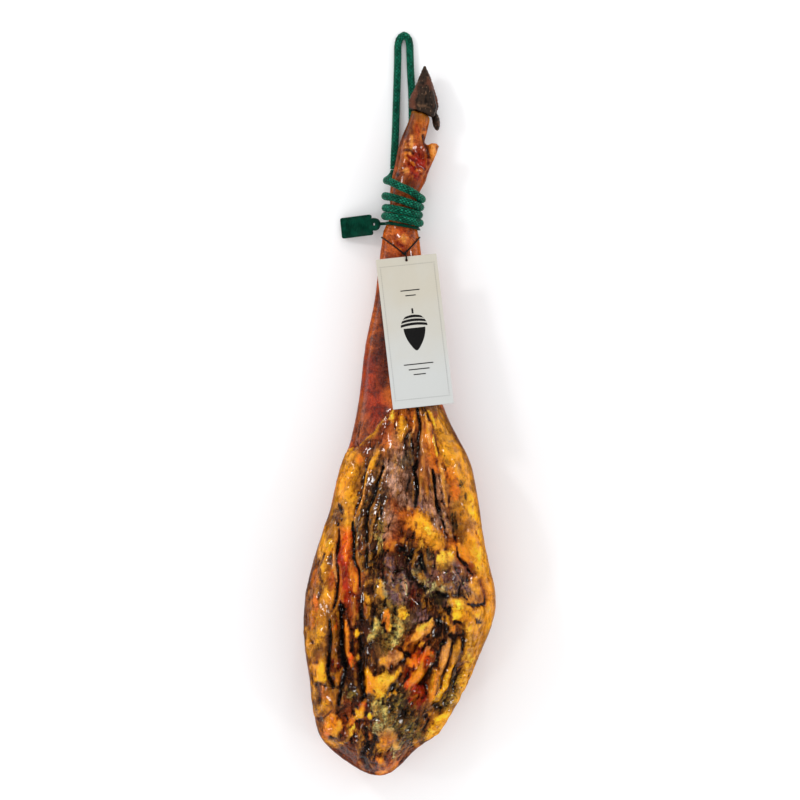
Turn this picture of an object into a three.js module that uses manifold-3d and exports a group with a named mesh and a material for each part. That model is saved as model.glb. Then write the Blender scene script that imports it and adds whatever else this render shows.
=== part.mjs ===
// A whole bone-in cured ham, laid on its outer side with the lean face up.
// Millimetres. +Y runs from the rump tip to the hoof, +X across the lean face, +Z up from the table.
// The origin is under the middle of the ham, at table height.
import * as THREE from "three";
import { mergeVertices } from "three/addons/utils/BufferGeometryUtils.js";
import Module from "manifold-3d";

const wasm = await Module();
wasm.setup();

// Driving sizes
const ROPE_DIAMETER = 8.6;
const STRING_DIAMETER = 1.7;
const GAP = 0.35;
const SKIN_THICKNESS = 2.6;
const RING_COLUMNS = 44;
const CARD = { width: 70, length: 175, thickness: 0.9, corner: 0.8, hole: 3.4, holeFromEdge: 4.2 };
const SEAL = { length: 39, width: 24, thickness: 2.2, corner: 2.4, rim: 1.6, rimHeight: 0.7 };
const SEAL_HEAD = { radius: 7.4, height: 4.2, hole: 1.8, inset: 3 };
const SEAL_STRAP = { width: 3.4, thickness: 1.3, left: 230.2, right: 223.4 };
const SEAL_PLACE = { x: -29.2, y: 229.4, z: 20.5, turn: 6, droop: -23 };
// The neck that joins the seal's head to its strap
const SEAL_NECK = { length: 12.2, thickness: 2, x: -21.2, y: 229.8, z: 26.5, tilt: -35, turn: 0 };
// How deep one solid of a piece reaches into the next
const OVERLAP = 0.4;
const ROPE_CLEARANCE = 1.6 * GAP;
const STRING_CLEARANCE = 0.9;
const STRAP_CLEARANCE = 1.35;
const KNOT_RADIUS = 2.1;

// How much fuller than an ellipse the sections of the rump are
const FULLNESS = { amount: 0.14, none: 30, whole: -120 };
// The cleft between the toes
const CLEFT = { depth: 2.4, from: 315, to: 350, width: 0.28 };

// Cross-sections of the leg along Y: where each one is centred, its left and right edges, underside and top,
// how far it leans in plan, and how far its crest is shifted to the right.
const LEG_COLUMNS = ["y", "left", "right", "bottom", "top", "lean", "crest"];
const LEG_SECTIONS = [
  [-408.3, -29, -22, 47, 56, 0, 0],
  [-405, -39, -13, 41, 61, 0, 0],
  [-399, -50, -3, 34, 67, 0, 0],
  [-389, -66, 7, 27, 74, 0, 0],
  [-376, -82, 20, 19, 82, 0, 0],
  [-362, -92, 37, 13, 91, 0, 0],
  [-335, -99.5, 57, 5, 103, 0, 0],
  [-300, -103.5, 75, 0, 114, 0, 0],
  [-260, -108, 94, -4, 121, 0, 0],
  [-225, -109.6, 107, -4, 124, 0, 0],
  [-205, -108.8, 109.4, -4, 124, 0, 0],
  [-170, -103, 104, -4, 121, 0, 2],
  [-130, -90, 94.5, -4, 115, 0, 6],
  [-86, -75, 87.5, -3.5, 108, 0, 12],
  [-50, -67, 80.5, -2, 101, 0, 15],
  [-30, -60, 71, -1, 96, 0, 15],
  [0, -54, 57, 1, 87, 0, 14],
  [42, -46, 43.5, 3, 78, 0, 11],
  [88, -39.5, 37, 5, 71, 0, 7],
  [135, -31, 31, 7.5, 65, 0, 3],
  [180, -25.5, 27.5, 10.5, 60, 0, 0],
  [210, -21.6, 23.2, 15, 55, 0, 0],
  [220, -20.3, 21.8, 16.6, 53.5, 0, 0],
  [225.5, -18, 19.2, 18.2, 52.9, 0, 0],
  [230, -14, 16.8, 18.8, 52.4, 0, 0],
  [237, -12.2, 16.5, 19, 52.3, 0, 0],
  [248, -12, 18.2, 19, 52.3, 0, 0],
  [260, -12.4, 20.4, 18.8, 52.3, 0, 0],
  [270, -11.8, 25, 17, 52.4, 1, 0],
  [283, -9.5, 31.5, 13, 52, 3, 0],
  [298, -5.7, 29.9, 11.5, 50, 8, 0],
  [315, -2.6, 25.6, 10.6, 46, 10, 0],
  [333.5, 2.8, 31.8, 10.2, 43, 12, 0],
  [348, 9.3, 35.5, 10, 41.5, 16, 0],
  [358.4, 10.9, 38.7, 10, 40.5, 21, 0],
];
const LEG_TIP = { x: -25.5, y: -409.2, z: 51.5 };

// Levels of the rings, as [from, to, spacing]
const LEG_SPANS = [
  [-408.3, -399, 3.1],
  [-399, -372, 6.75],
  [-372, -30, 9.5],
  [-30, 210, 15],
  [210, 283, 5.2],
  [283, 358.4, 9.4],
];

// The V cut, where the skin of the shank ends and the trimmed lean face begins.
const SKIN_EDGE = [
  [-66, -36], [-49, -34], [-36, -22], [-22, -6], [-8, 9], [6, 35], [18, 57],
  [34, 40], [45, 21], [54, 7], [64, -9], [75, -30],
];

// Relief of the lean face: muscles and fat as ridges, seams between them as furrows.
const RELIEF = [
  // name, width, height, points along it
  ["outer fat band", 17, 4, [-54, -46], [-68, -90], [-82, -136]],
  ["seam beside the outer fat", 8, -5,
    [-32, -40], [-43, -80], [-55, -130], [-59, -182], [-62, -250], [-63, -305]],
  ["outer lower band", 20, 3.5, [-92, -175], [-98, -250], [-88, -320]],
  ["red strand", 9, 4, [-68, -160], [-73, -205], [-76, -250]],
  ["seam outside the red strand", 7.5, -4, [-66, -136], [-84, -205], [-87, -252]],
  ["inner round", 19, 4.5, [-31, -90], [-42, -160], [-41, -228], [-31, -296]],
  ["shank muscle", 20, 5, [-8, -12], [-7, -67], [-16, -124]],
  ["middle seam", 7.5, -5.5, [14, 12], [12, -32], [12, -78], [21, -118]],
  ["muscle right of the seam", 10, 4, [27, -10], [29, -67], [36, -118]],
  ["second seam", 7, -3.5, [38, -20], [45, -90], [55, -142]],
  ["tendon", 8, 3.5, [50, -38], [58, -90], [67, -136]],
  ["right fat", 20, 4, [66, -32], [77, -90], [86, -160], [93, -205]],
  ["kidney fat lump", 13, 7, [10, -139], [30, -147], [48, -166]],
  ["hollow under the lump", 13, -9, [-8, -168], [10, -180], [30, -191]],
  ["dark mound", 20, 5.5, [-12, -193], [-8, -222]],
  ["dark mound to the right", 15, 6, [47, -193], [64, -210], [77, -230]],
  ["fold right of the mounds", 6.5, -5.5, [36, -154], [61, -170], [86, -205], [97, -230]],
  ["fat lumps", 10, 5, [61, -226], [86, -223]],
  ["lower fat lumps", 9, 4, [56, -242], [72, -251]],
  ["hip bone", 8.5, 6.5, [-27, -271], [-10, -256], [6, -237]],
  ["hip bone end", 8, 3, [-27, -271], [-24, -269]],
  ["red hollow", 24, -6, [16, -262], [34, -290]],
  ["red strand in the hollow", 7, 4.5, [13, -308], [38, -268]],
  ["strand beside the rim", 7, 4, [30, -320], [53, -274]],
  ["seam inside the rim", 7, -4, [72, -274], [47, -320], [22, -348]],
  ["rim of fat", 13, 3.5, [100, -225], [84, -274], [56, -325], [24, -363]],
  ["black seam", 8, -6, [-45, -252], [-43, -308], [-54, -343]],
  ["lower mound", 20, 4.5, [-22, -308], [-16, -343]],
  ["fold at the rump", 7, -4, [-79, -337], [-54, -334], [-31, -360]],
  ["rump tip", 13, 3, [-80, -350], [-50, -372], [-20, -388]],
];

// The knob of the hock, on the front of the ankle below the strap
const HOCK_KNOB = { x: 3.6, y: 211, width: 6.6, height: 2.6 };

// Rope: the turns round the ankle, from the loop down. Each gives its place along Y
// at the left and at the right.
const ROPE_TURNS = [
  { left: 279.5, right: 257.6 },
  { left: 261.4, right: 248.3 },
  { left: 247.6, right: 239.2 },
  { left: 238.2, right: 230.2 },
];
const TURN_STEPS = 18;
const LAST_TURN_STEPS = 14;
// Where the rope comes up from the table into its first turn
const FIRST_TURN = [[-7.25, 293.5, 4.35], [-7.5, 290, 4.8], [-11, 284.5, 10.5]];
const ROPE_ABOVE_TABLE = ROPE_DIAMETER / 2 + 0.05;
// The cut end of the rope, laid along the back of the ankle under the turns
const STRAND = { x: 7, z: 14.25 };
// The free loop, from that strand up under the foot, round and back down to the first turn
const ROPE_LOOP = [
  [STRAND.x, 229.5, STRAND.z - 0.3], [STRAND.x, 234, STRAND.z], [STRAND.x, 245, STRAND.z],
  [STRAND.x, 256, STRAND.z], [7.4, 264, 13.6], [8.4, 272, 11], [9.6, 280, 7.6], [11, 291, 4.8],
  [12.8, 310, 4.35], [14.2, 335, 4.35], [14.2, 362, 4.35], [13.6, 386, 4.35], [12.4, 407, 4.35],
  [11.6, 429, 4.35], [11.2, 439.5, 4.35], [9.4, 446.6, 4.35], [5, 450.4, 4.35], [0.2, 447.2, 4.35],
  [-2.2, 440, 4.35], [-2.6, 425, 4.35], [-3.4, 397, 4.35], [-4.4, 365, 4.35], [-5.4, 335, 4.35],
  [-6.6, 310, 4.35], [-7.2, 294.4, 4.35],
];

// Where the card's string crosses the sides of the shank, its knot, and the card's hole
const STRING_SIDE_Y = 213.5;
const STRING_BACK_Y = 215;
const KNOT = { x: 4.6, y: 193.6 };
const CARD_PLACE = { x: 7.4, y: 186, z: 60.6, turn: 6.6, pitch: -8.2, roll: 3.5 };

// The two dewclaws behind the foot, the nearer one with a second lobe
const DEWCLAWS = [
  { from: [23, 288, 35], to: [41.5, 320.5, 37.5], radii: [9.8, 5] },
  { from: [19, 290, 34], to: [33, 318, 35.5], radii: [9, 4.6] },
  { from: [20, 288, 24], to: [35, 317, 20], radii: [8.5, 4.6] },
];

// Hoof outlines beyond the end of the toes: left and right edges in plan, underside and top.
const NEAR_CLAW = {
  bottom: 24.6,
  top: 42,
  outline: [
    [[9.6, 372], [43, 363.6], 24.6, 42.8],
    [[16.2, 385.6], [40, 379.6], 24.6, 40.5],
    [[20.8, 396.8], [36.8, 393.4], 24.6, 36.5],
    [[24.6, 406], [33.4, 404.2], 24.8, 32],
    [[27.2, 412.6], [30.2, 411.9], 25.6, 28.4],
  ],
};
const FAR_CLAW = {
  bottom: 9.8,
  top: 24.1,
  outline: [
    [[14, 373], [45.2, 366], 9.8, 24.1],
    [[19.6, 384.6], [43, 377.8], 9.6, 24.1],
    [[23.6, 396], [38.6, 391.6], 10.4, 23.8],
    [[26.8, 404.4], [34.6, 402.4], 12.6, 22.4],
    [[29, 409.8], [31.4, 409.2], 15.6, 19.6],
  ],
};
const FAR_HEEL = { radii: [4.5, 11.5, 6.4], x: 41.8, y: 349.5, z: 16.6, turn: 8 };
const CLAW_BASE_HALF_WIDTH = 16;

const rad = THREE.MathUtils.degToRad;

// Eases from 0 at one value to 1 at the other, which may be the smaller
function smoothStep(from, to, value) {
  const t = THREE.MathUtils.clamp((value - from) / (to - from), 0, 1);
  return t * t * (3 - 2 * t);
}

// Reads a table of sections at any height, with Catmull-Rom tangents limited so that nothing overshoots.
function readSections(table, y) {
  const last = table.length - 1;
  let i = 0;
  while (i < last - 1 && table[i + 1][0] < y) i += 1;
  const before = table[Math.max(i - 1, 0)];
  const [a, b] = [table[i], table[i + 1]];
  const after = table[Math.min(i + 2, last)];
  const span = b[0] - a[0];
  const t = THREE.MathUtils.clamp((y - a[0]) / span, 0, 1);
  return a.map((value, k) => {
    const slope = (b[k] - value) / span;
    const slopeBefore = i > 0 ? (value - before[k]) / (a[0] - before[0]) : slope;
    const slopeAfter = i + 2 <= last ? (after[k] - b[k]) / (after[0] - b[0]) : slope;
    const tangentA = slopeBefore * slope > 0 ? (2 * slopeBefore * slope) / (slopeBefore + slope) : 0;
    const tangentB = slopeAfter * slope > 0 ? (2 * slopeAfter * slope) / (slopeAfter + slope) : 0;
    const t2 = t * t;
    const t3 = t2 * t;
    return (2 * t3 - 3 * t2 + 1) * value + (t3 - 2 * t2 + t) * span * tangentA
      + (3 * t2 - 2 * t3) * b[k] + (t3 - t2) * span * tangentB;
  });
}

function legAt(y) {
  const values = readSections(LEG_SECTIONS, y);
  const s = Object.fromEntries(LEG_COLUMNS.map((name, k) => [name, values[k]]));
  return {
    ...s,
    x: (s.left + s.right) / 2,
    z: (s.bottom + s.top) / 2,
    halfWidth: (s.right - s.left) / 2,
    halfHeight: (s.top - s.bottom) / 2,
  };
}

function distanceToLine(x, y, points) {
  let best = Infinity;
  for (let i = 0; i + 1 < points.length; i += 1) {
    const [ax, ay] = points[i];
    const [bx, by] = points[i + 1];
    const along = ((x - ax) * (bx - ax) + (y - ay) * (by - ay)) / ((bx - ax) ** 2 + (by - ay) ** 2);
    const t = THREE.MathUtils.clamp(along, 0, 1);
    best = Math.min(best, Math.hypot(x - ax - t * (bx - ax), y - ay - t * (by - ay)));
  }
  return best;
}

// How far above the V cut a point of the upper side is, so above 0 on the skin.
function aboveSkinEdge(x, y) {
  let i = 0;
  while (i < SKIN_EDGE.length - 2 && SKIN_EDGE[i + 1][0] < x) i += 1;
  const [[ax, ay], [bx, by]] = [SKIN_EDGE[i], SKIN_EDGE[i + 1]];
  const slope = (by - ay) / (bx - ax);
  const edge = ay + slope * (THREE.MathUtils.clamp(x, SKIN_EDGE[0][0], SKIN_EDGE.at(-1)[0]) - ax);
  return (y - edge) / Math.hypot(1, slope);
}

function reliefAt(x, y) {
  const muscles = RELIEF.reduce((sum, [, width, height, ...points]) => {
    return sum + height * Math.exp(-((distanceToLine(x, y, points) / width) ** 2));
  }, 0);
  const skin = smoothStep(-3, 3, aboveSkinEdge(x, y));
  const fromKnob = Math.hypot(x - HOCK_KNOB.x, y - HOCK_KNOB.y) / HOCK_KNOB.width;
  const knob = HOCK_KNOB.height * Math.exp(-(fromKnob ** 2));
  return muscles * (1 - skin) + SKIN_THICKNESS * skin * smoothStep(200, 120, y) + knob;
}

// Slow unevenness of the whole leg, which fades out where the rope grips it
function unevenness(x, y, z) {
  const waves = Math.sin(x / 21 + y / 37) + Math.sin(y / 26 - z / 18 + 1) + Math.sin(x / 14 - y / 19 + 2);
  return 0.55 * waves * smoothStep(185, 120, y);
}

// A point of the leg's surface at a height, at an angle round it: 0 is right, 90 degrees is up.
function legPoint(y, angle) {
  const s = legAt(y);
  const [c, n] = [Math.cos(angle), Math.sin(angle)];
  const fullness = 1 - FULLNESS.amount * smoothStep(FULLNESS.none, FULLNESS.whole, y);
  const across = s.halfWidth * Math.sign(c) * Math.abs(c) ** fullness;
  const up = s.halfHeight * Math.sign(n) * Math.abs(n) ** fullness;
  const normal = new THREE.Vector2(c * s.halfHeight, n * s.halfWidth).normalize();
  const x0 = s.x + across + s.crest * Math.max(n, 0) ** 2;
  const facesUp = smoothStep(0.05, 0.5, normal.y);
  const cleft = CLEFT.depth * smoothStep(CLEFT.from, CLEFT.to, y) * Math.exp(-((n / CLEFT.width) ** 2));
  const out = reliefAt(x0, y) * facesUp + unevenness(x0, y, s.z + up) - cleft;
  const x = x0 + out * normal.x;
  const reach = x - s.x;
  return new THREE.Vector3(
    s.x + reach * Math.cos(rad(s.lean)),
    y - reach * Math.sin(rad(s.lean)),
    Math.max(s.z + up + out * normal.y, 0),
  );
}

// Angles round a ring, closer together over the lean face
function ringAngles() {
  return Array.from({ length: RING_COLUMNS }, (_, i) => {
    const turn = (2 * Math.PI * i) / RING_COLUMNS;
    return turn + 0.32 * Math.cos(turn) - 0.32;
  });
}

function legLevels() {
  const levels = LEG_SPANS.flatMap(([from, to, spacing]) => {
    const steps = Math.round((to - from) / spacing);
    return Array.from({ length: steps }, (_, i) => from + ((to - from) * i) / steps);
  });
  return [...levels, LEG_SPANS.at(-1)[1]];
}

// Closed surface through rings of equal length, from the first ring's pole to the last ring's.
function loft(rings, firstPole, lastPole) {
  const count = rings[0].length;
  const points = [firstPole, ...rings.flat(), lastPole];
  const end = points.length - 1;
  const faces = [];
  for (let i = 0; i < count; i += 1) {
    const next = (i + 1) % count;
    faces.push(0, 1 + i, 1 + next);
    for (let r = 0; r + 1 < rings.length; r += 1) {
      const [a, b] = [1 + r * count + i, 1 + r * count + next];
      faces.push(a, a + count, b, b, a + count, b + count);
    }
    faces.push(end, 1 + (rings.length - 1) * count + next, 1 + (rings.length - 1) * count + i);
  }
  const geometry = new THREE.BufferGeometry().setFromPoints(points);
  geometry.setIndex(faces);
  return geometry;
}

function solid(geometry) {
  const bare = geometry.clone();
  bare.deleteAttribute("normal");
  bare.deleteAttribute("uv");
  const merged = mergeVertices(bare, 1e-3);
  return new wasm.Manifold(new wasm.Mesh({
    numProp: 3,
    vertProperties: merged.attributes.position.array,
    triVerts: new Uint32Array(merged.index.array),
  }));
}

function geometryOf(manifold) {
  const mesh = manifold.getMesh();
  const geometry = new THREE.BufferGeometry();
  geometry.setAttribute("position", new THREE.BufferAttribute(new Float32Array(mesh.vertProperties), 3));
  geometry.setIndex(new THREE.BufferAttribute(new Uint32Array(mesh.triVerts), 1));
  geometry.computeVertexNormals();
  return geometry;
}

function join(...geometries) {
  return geometryOf(geometries.map(solid).reduce((whole, piece) => whole.add(piece)));
}

// A round peg from one point to another, with its own radius at each end and a domed tip
function peg(from, to, fromRadius, toRadius) {
  const [start, end] = [new THREE.Vector3(...from), new THREE.Vector3(...to)];
  const length = start.distanceTo(end);
  const profile = [[0, 0], [fromRadius, 0], [toRadius, length]].map((p) => new THREE.Vector2(...p));
  for (let k = 1; k <= 3; k += 1) {
    const angle = (k * Math.PI) / 6;
    const radius = toRadius * Math.cos(angle) * (k < 3);
    profile.push(new THREE.Vector2(radius, length + 0.8 * toRadius * Math.sin(angle)));
  }
  const geometry = new THREE.LatheGeometry(profile, 14);
  geometry.applyQuaternion(new THREE.Quaternion().setFromUnitVectors(
    new THREE.Vector3(0, 1, 0),
    end.clone().sub(start).normalize(),
  ));
  return geometry.translate(start.x, start.y, start.z);
}

function hamGeometry() {
  const angles = ringAngles();
  const levels = legLevels();
  const rings = levels.map((y) => angles.map((angle) => legPoint(y, angle)));
  const top = legAt(levels.at(-1));
  const body = loft(
    rings,
    new THREE.Vector3(LEG_TIP.x, LEG_TIP.y, LEG_TIP.z),
    new THREE.Vector3(top.x, top.y, top.z),
  );
  return join(body, ...DEWCLAWS.map(({ from, to, radii }) => peg(from, to, ...radii)));
}

// A claw starts on the end of the toes, as wide as CLAW_BASE_HALF_WIDTH, and narrows to its tip.
function clawGeometry({ bottom, top, outline }) {
  const toe = legAt(LEG_SPANS.at(-1)[1]);
  const [across, ahead] = [
    [Math.cos(rad(toe.lean)), -Math.sin(rad(toe.lean))],
    [Math.sin(rad(toe.lean)), Math.cos(rad(toe.lean))],
  ];
  const base = [-1, 1].map((side) => [0, 1].map((k) => (
    [toe.x, toe.y][k] + side * CLAW_BASE_HALF_WIDTH * across[k] + GAP * ahead[k]
  )));
  const sections = [[...base, bottom, top], ...outline];
  const sides = 14;
  const rings = sections.map(([left, right, low, high]) => Array.from({ length: sides }, (_, i) => {
    const angle = (2 * Math.PI * i) / sides;
    const [c, n] = [Math.cos(angle), Math.sin(angle)];
    const across01 = 0.5 + 0.5 * Math.sign(c) * Math.abs(c) ** 0.7;
    return new THREE.Vector3(
      THREE.MathUtils.lerp(left[0], right[0], across01),
      THREE.MathUtils.lerp(left[1], right[1], across01),
      (low + high) / 2 + ((high - low) / 2) * Math.sign(n) * Math.abs(n) ** 0.7,
    );
  }));
  const middle = (ring) => ring.reduce((sum, p) => sum.add(p), new THREE.Vector3()).divideScalar(sides);
  return loft(rings, middle(rings[0]), middle(rings.at(-1)).add(new THREE.Vector3(0, 0.8, 0)));
}

function farClawGeometry() {
  const heel = new THREE.SphereGeometry(1, 12, 8).scale(...FAR_HEEL.radii).rotateZ(rad(FAR_HEEL.turn));
  heel.translate(FAR_HEEL.x, FAR_HEEL.y, FAR_HEEL.z);
  return join(clawGeometry(FAR_CLAW), heel);
}

// A turn of rope hugs the ankle and the strand laid along its back. This is its centre line at an angle round
// them, clear of the leg as far along Y as the rope is thick.
function turnPoint(y, angle) {
  const direction = new THREE.Vector2(Math.cos(angle), Math.sin(angle));
  const touches = [-3, 0, 3].map((shift) => {
    const s = legAt(y + shift);
    const reach = Math.hypot(s.halfWidth * direction.x, s.halfHeight * direction.y);
    return new THREE.Vector2(
      s.x + (s.halfWidth ** 2 * direction.x) / reach,
      s.z + (s.halfHeight ** 2 * direction.y) / reach,
    );
  });
  const strand = new THREE.Vector2(STRAND.x, STRAND.z);
  touches.push(direction.clone().multiplyScalar(ROPE_DIAMETER / 2).add(strand));
  const touch = touches.reduce((best, point) => (point.dot(direction) > best.dot(direction) ? point : best));
  const centre = touch.addScaledVector(direction, ROPE_DIAMETER / 2 + ROPE_CLEARANCE);
  return new THREE.Vector3(centre.x, y, Math.max(centre.y, ROPE_ABOVE_TABLE));
}

// The winding's centre line: it comes off the table on the left, crosses the front to the right and
// returns along the back, lower at each turn.
function windingPoints() {
  const points = FIRST_TURN.map((p) => new THREE.Vector3(...p));
  ROPE_TURNS.forEach(({ left, right }, k) => {
    const next = ROPE_TURNS[k + 1]?.left ?? right + 1;
    const steps = k === ROPE_TURNS.length - 1 ? LAST_TURN_STEPS : TURN_STEPS;
    for (let i = 0; i < steps; i += 1) {
      const turned = i / TURN_STEPS;
      const y = turned < 0.5
        ? THREE.MathUtils.lerp(left, right, (1 - Math.cos(2 * Math.PI * turned)) / 2)
        : THREE.MathUtils.lerp(right, next, (1 - Math.cos(2 * Math.PI * (turned - 0.5))) / 2);
      points.push(turnPoint(y, Math.PI - 2 * Math.PI * turned));
    }
  });
  return points;
}

function tubeGeometry(points, diameter, steps, sides) {
  const section = new THREE.Shape(Array.from({ length: sides }, (_, i) => {
    const angle = (2 * Math.PI * i) / sides;
    return new THREE.Vector2((diameter / 2) * Math.cos(angle), (diameter / 2) * Math.sin(angle));
  }));
  const path = new THREE.CatmullRomCurve3(points, false, "centripetal");
  return new THREE.ExtrudeGeometry(section, { steps, bevelEnabled: false, extrudePath: path });
}

function roundedRectangle(width, height, corner) {
  const [x, y] = [width / 2, height / 2];
  const shape = new THREE.Shape();
  shape.moveTo(-x + corner, -y);
  shape.lineTo(x - corner, -y);
  shape.absarc(x - corner, -y + corner, corner, -Math.PI / 2, 0);
  shape.lineTo(x, y - corner);
  shape.absarc(x - corner, y - corner, corner, 0, Math.PI / 2);
  shape.lineTo(-x + corner, y);
  shape.absarc(-x + corner, y - corner, corner, Math.PI / 2, Math.PI);
  shape.lineTo(-x, -y + corner);
  shape.absarc(-x + corner, -y + corner, corner, Math.PI, 1.5 * Math.PI);
  return shape;
}

function slab(shape, thickness) {
  return new THREE.ExtrudeGeometry(shape, { depth: thickness, bevelEnabled: false, curveSegments: 4 });
}

// The seal's plate and locking head, flat: the head is at the origin and the plate runs towards -X.
function sealPlateGeometry() {
  const { length, width, thickness, corner, rim, rimHeight } = SEAL;
  const plateX = -SEAL_HEAD.inset - length / 2;
  const plate = slab(roundedRectangle(length, width, corner), thickness).translate(plateX, 0, 0);
  const frameShape = roundedRectangle(length, width, corner);
  frameShape.holes.push(roundedRectangle(length - 2 * rim, width - 2 * rim, corner / 2));
  const frame = slab(frameShape, rimHeight + OVERLAP).translate(plateX, 0, thickness - OVERLAP);
  const { radius, height, hole } = SEAL_HEAD;
  const head = new THREE.CylinderGeometry(radius, radius, height, 24)
    .rotateX(Math.PI / 2).translate(0, 0, height / 2);
  const drill = new THREE.CylinderGeometry(hole, hole, 3 * height, 14).rotateX(Math.PI / 2);
  return geometryOf(solid(plate).add(solid(frame)).add(solid(head)).subtract(solid(drill)));
}

// The strap is a flat band that goes once round the ankle below the rope.
function strapGeometry() {
  const steps = 32;
  const { width, thickness, left, right } = SEAL_STRAP;
  const section = [[0, -1], [1, -1], [1, 1], [0, 1]];
  const rings = Array.from({ length: steps }, (_, i) => {
    const angle = (2 * Math.PI * i) / steps;
    const [c, n] = [Math.cos(angle), Math.sin(angle)];
    const level = right + ((left - right) * (1 - c)) / 2;
    return section.map(([out, side]) => {
      const y = level + (side * width) / 2;
      const s = legAt(y);
      const off = STRAP_CLEARANCE + out * thickness;
      return new THREE.Vector3(
        s.x + (s.halfWidth + off) * c,
        y,
        s.z + (s.halfHeight + off) * n,
      );
    });
  });
  const points = rings.flat();
  const faces = [];
  for (let i = 0; i < steps; i += 1) {
    for (let k = 0; k < 4; k += 1) {
      const [a, b] = [4 * i + k, 4 * i + ((k + 1) % 4)];
      const [c, d] = [4 * ((i + 1) % steps) + k, 4 * ((i + 1) % steps) + ((k + 1) % 4)];
      faces.push(a, b, c, b, d, c);
    }
  }
  const geometry = new THREE.BufferGeometry().setFromPoints(points);
  geometry.setIndex(faces);
  return geometry;
}

function sealGeometry() {
  const plate = sealPlateGeometry();
  plate.rotateY(rad(SEAL_PLACE.droop)).rotateZ(rad(SEAL_PLACE.turn));
  plate.translate(SEAL_PLACE.x, SEAL_PLACE.y, SEAL_PLACE.z);
  const neck = new THREE.BoxGeometry(SEAL_NECK.length, SEAL_STRAP.width, SEAL_NECK.thickness);
  neck.rotateY(rad(SEAL_NECK.tilt)).rotateZ(rad(SEAL_NECK.turn));
  neck.translate(SEAL_NECK.x, SEAL_NECK.y, SEAL_NECK.z);
  return join(plate, strapGeometry(), neck);
}

// The string hangs on the shank: round its back, over both sides and down its face to the knot.
function stringPoint(y, angle) {
  const p = legPoint(y, angle);
  const s = legAt(y);
  const away = new THREE.Vector2(Math.cos(angle) * s.halfHeight, Math.sin(angle) * s.halfWidth).normalize();
  const off = STRING_DIAMETER / 2 + STRING_CLEARANCE;
  return new THREE.Vector3(p.x + off * away.x, p.y, p.z + off * away.y);
}

function stringLoopPoints() {
  const s = legAt(KNOT.y);
  const knotCosine = (KNOT.x - s.x) / s.halfWidth;
  const steps = 40;
  return Array.from({ length: steps + 1 }, (_, i) => {
    const angle = Math.acos(knotCosine) + (2 * Math.PI * i) / steps;
    const [c, n] = [Math.cos(angle), Math.sin(angle)];
    const towardSide = c < knotCosine
      ? (knotCosine - c) / (1 + knotCosine)
      : (c - knotCosine) / (1 - knotCosine);
    const y = n >= 0
      ? THREE.MathUtils.lerp(KNOT.y, STRING_SIDE_Y, Math.min(towardSide, 1))
      : THREE.MathUtils.lerp(STRING_SIDE_Y, STRING_BACK_Y, -n);
    return stringPoint(y, angle);
  });
}

// The card, flat: its hole is at the origin and it runs towards -Y.
function cardGeometry() {
  const shape = roundedRectangle(CARD.width, CARD.length, CARD.corner);
  const hole = new THREE.Path();
  hole.absarc(0, CARD.length / 2 - CARD.holeFromEdge, CARD.hole / 2, 0, 2 * Math.PI, true);
  shape.holes.push(hole);
  return slab(shape, CARD.thickness).translate(0, CARD.holeFromEdge - CARD.length / 2, 0);
}

function cardMatrix() {
  const turn = new THREE.Euler(rad(CARD_PLACE.pitch), rad(CARD_PLACE.roll), rad(CARD_PLACE.turn), "ZXY");
  return new THREE.Matrix4().makeRotationFromEuler(turn)
    .setPosition(CARD_PLACE.x, CARD_PLACE.y, CARD_PLACE.z);
}

function stringGeometry() {
  const loop = stringLoopPoints();
  const knotTop = loop[0].clone();
  const hole = new THREE.Vector3(0, 0, 0).applyMatrix4(cardMatrix());
  const overEdge = new THREE.Vector3(0, CARD.holeFromEdge + 0.6, CARD.thickness + 1.4);
  overEdge.applyMatrix4(cardMatrix());
  const aboveHole = new THREE.Vector3(0, 0.9, CARD.thickness + 1.3).applyMatrix4(cardMatrix());
  const underHole = new THREE.Vector3(0, 0, -1.4).applyMatrix4(cardMatrix());
  const lead = [knotTop, overEdge, aboveHole, new THREE.Vector3(hole.x, hole.y, hole.z + 0.8), underHole];
  const knot = new THREE.SphereGeometry(KNOT_RADIUS, 10, 8).scale(1.1, 0.9, 0.85);
  knot.translate(knotTop.x, knotTop.y, knotTop.z + 0.6);
  return join(
    tubeGeometry(loop, STRING_DIAMETER, 40, 8),
    tubeGeometry(lead, STRING_DIAMETER, 8, 8),
    knot,
  );
}

// Finishes
const SKIN = new THREE.MeshStandardMaterial({ color: 0xa4511b, roughness: 0.42, metalness: 0 });
const HORN = new THREE.MeshStandardMaterial({ color: 0x31241c, roughness: 0.55, metalness: 0 });
const ROPE = new THREE.MeshStandardMaterial({ color: 0x0f5a41, roughness: 0.75, metalness: 0 });
const PLASTIC = new THREE.MeshStandardMaterial({ color: 0x053f2b, roughness: 0.4, metalness: 0 });
const PAPER = new THREE.MeshStandardMaterial({ color: 0xe0dccf, roughness: 0.7, metalness: 0 });
const BLACK_STRING = new THREE.MeshStandardMaterial({ color: 0x16120f, roughness: 0.8, metalness: 0 });

function named(name, geometry, material) {
  const mesh = new THREE.Mesh(geometry, material);
  mesh.name = name;
  return mesh;
}

function cardMesh() {
  const card = named("card_tag", cardGeometry(), PAPER);
  card.applyMatrix4(cardMatrix());
  return card;
}

const ham = new THREE.Group();
ham.add(
  named("ham", hamGeometry(), SKIN),
  named("hoof_near", clawGeometry(NEAR_CLAW), HORN),
  named("hoof_far", farClawGeometry(), HORN),
  named("rope_winding", tubeGeometry(windingPoints(), ROPE_DIAMETER, 80, 9), ROPE),
  named("rope_loop", tubeGeometry(ROPE_LOOP.map((p) => new THREE.Vector3(...p)), ROPE_DIAMETER, 66, 9), ROPE),
  named("seal_tag", sealGeometry(), PLASTIC),
  cardMesh(),
  named("tag_string", stringGeometry(), BLACK_STRING),
);

export default ham;
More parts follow.
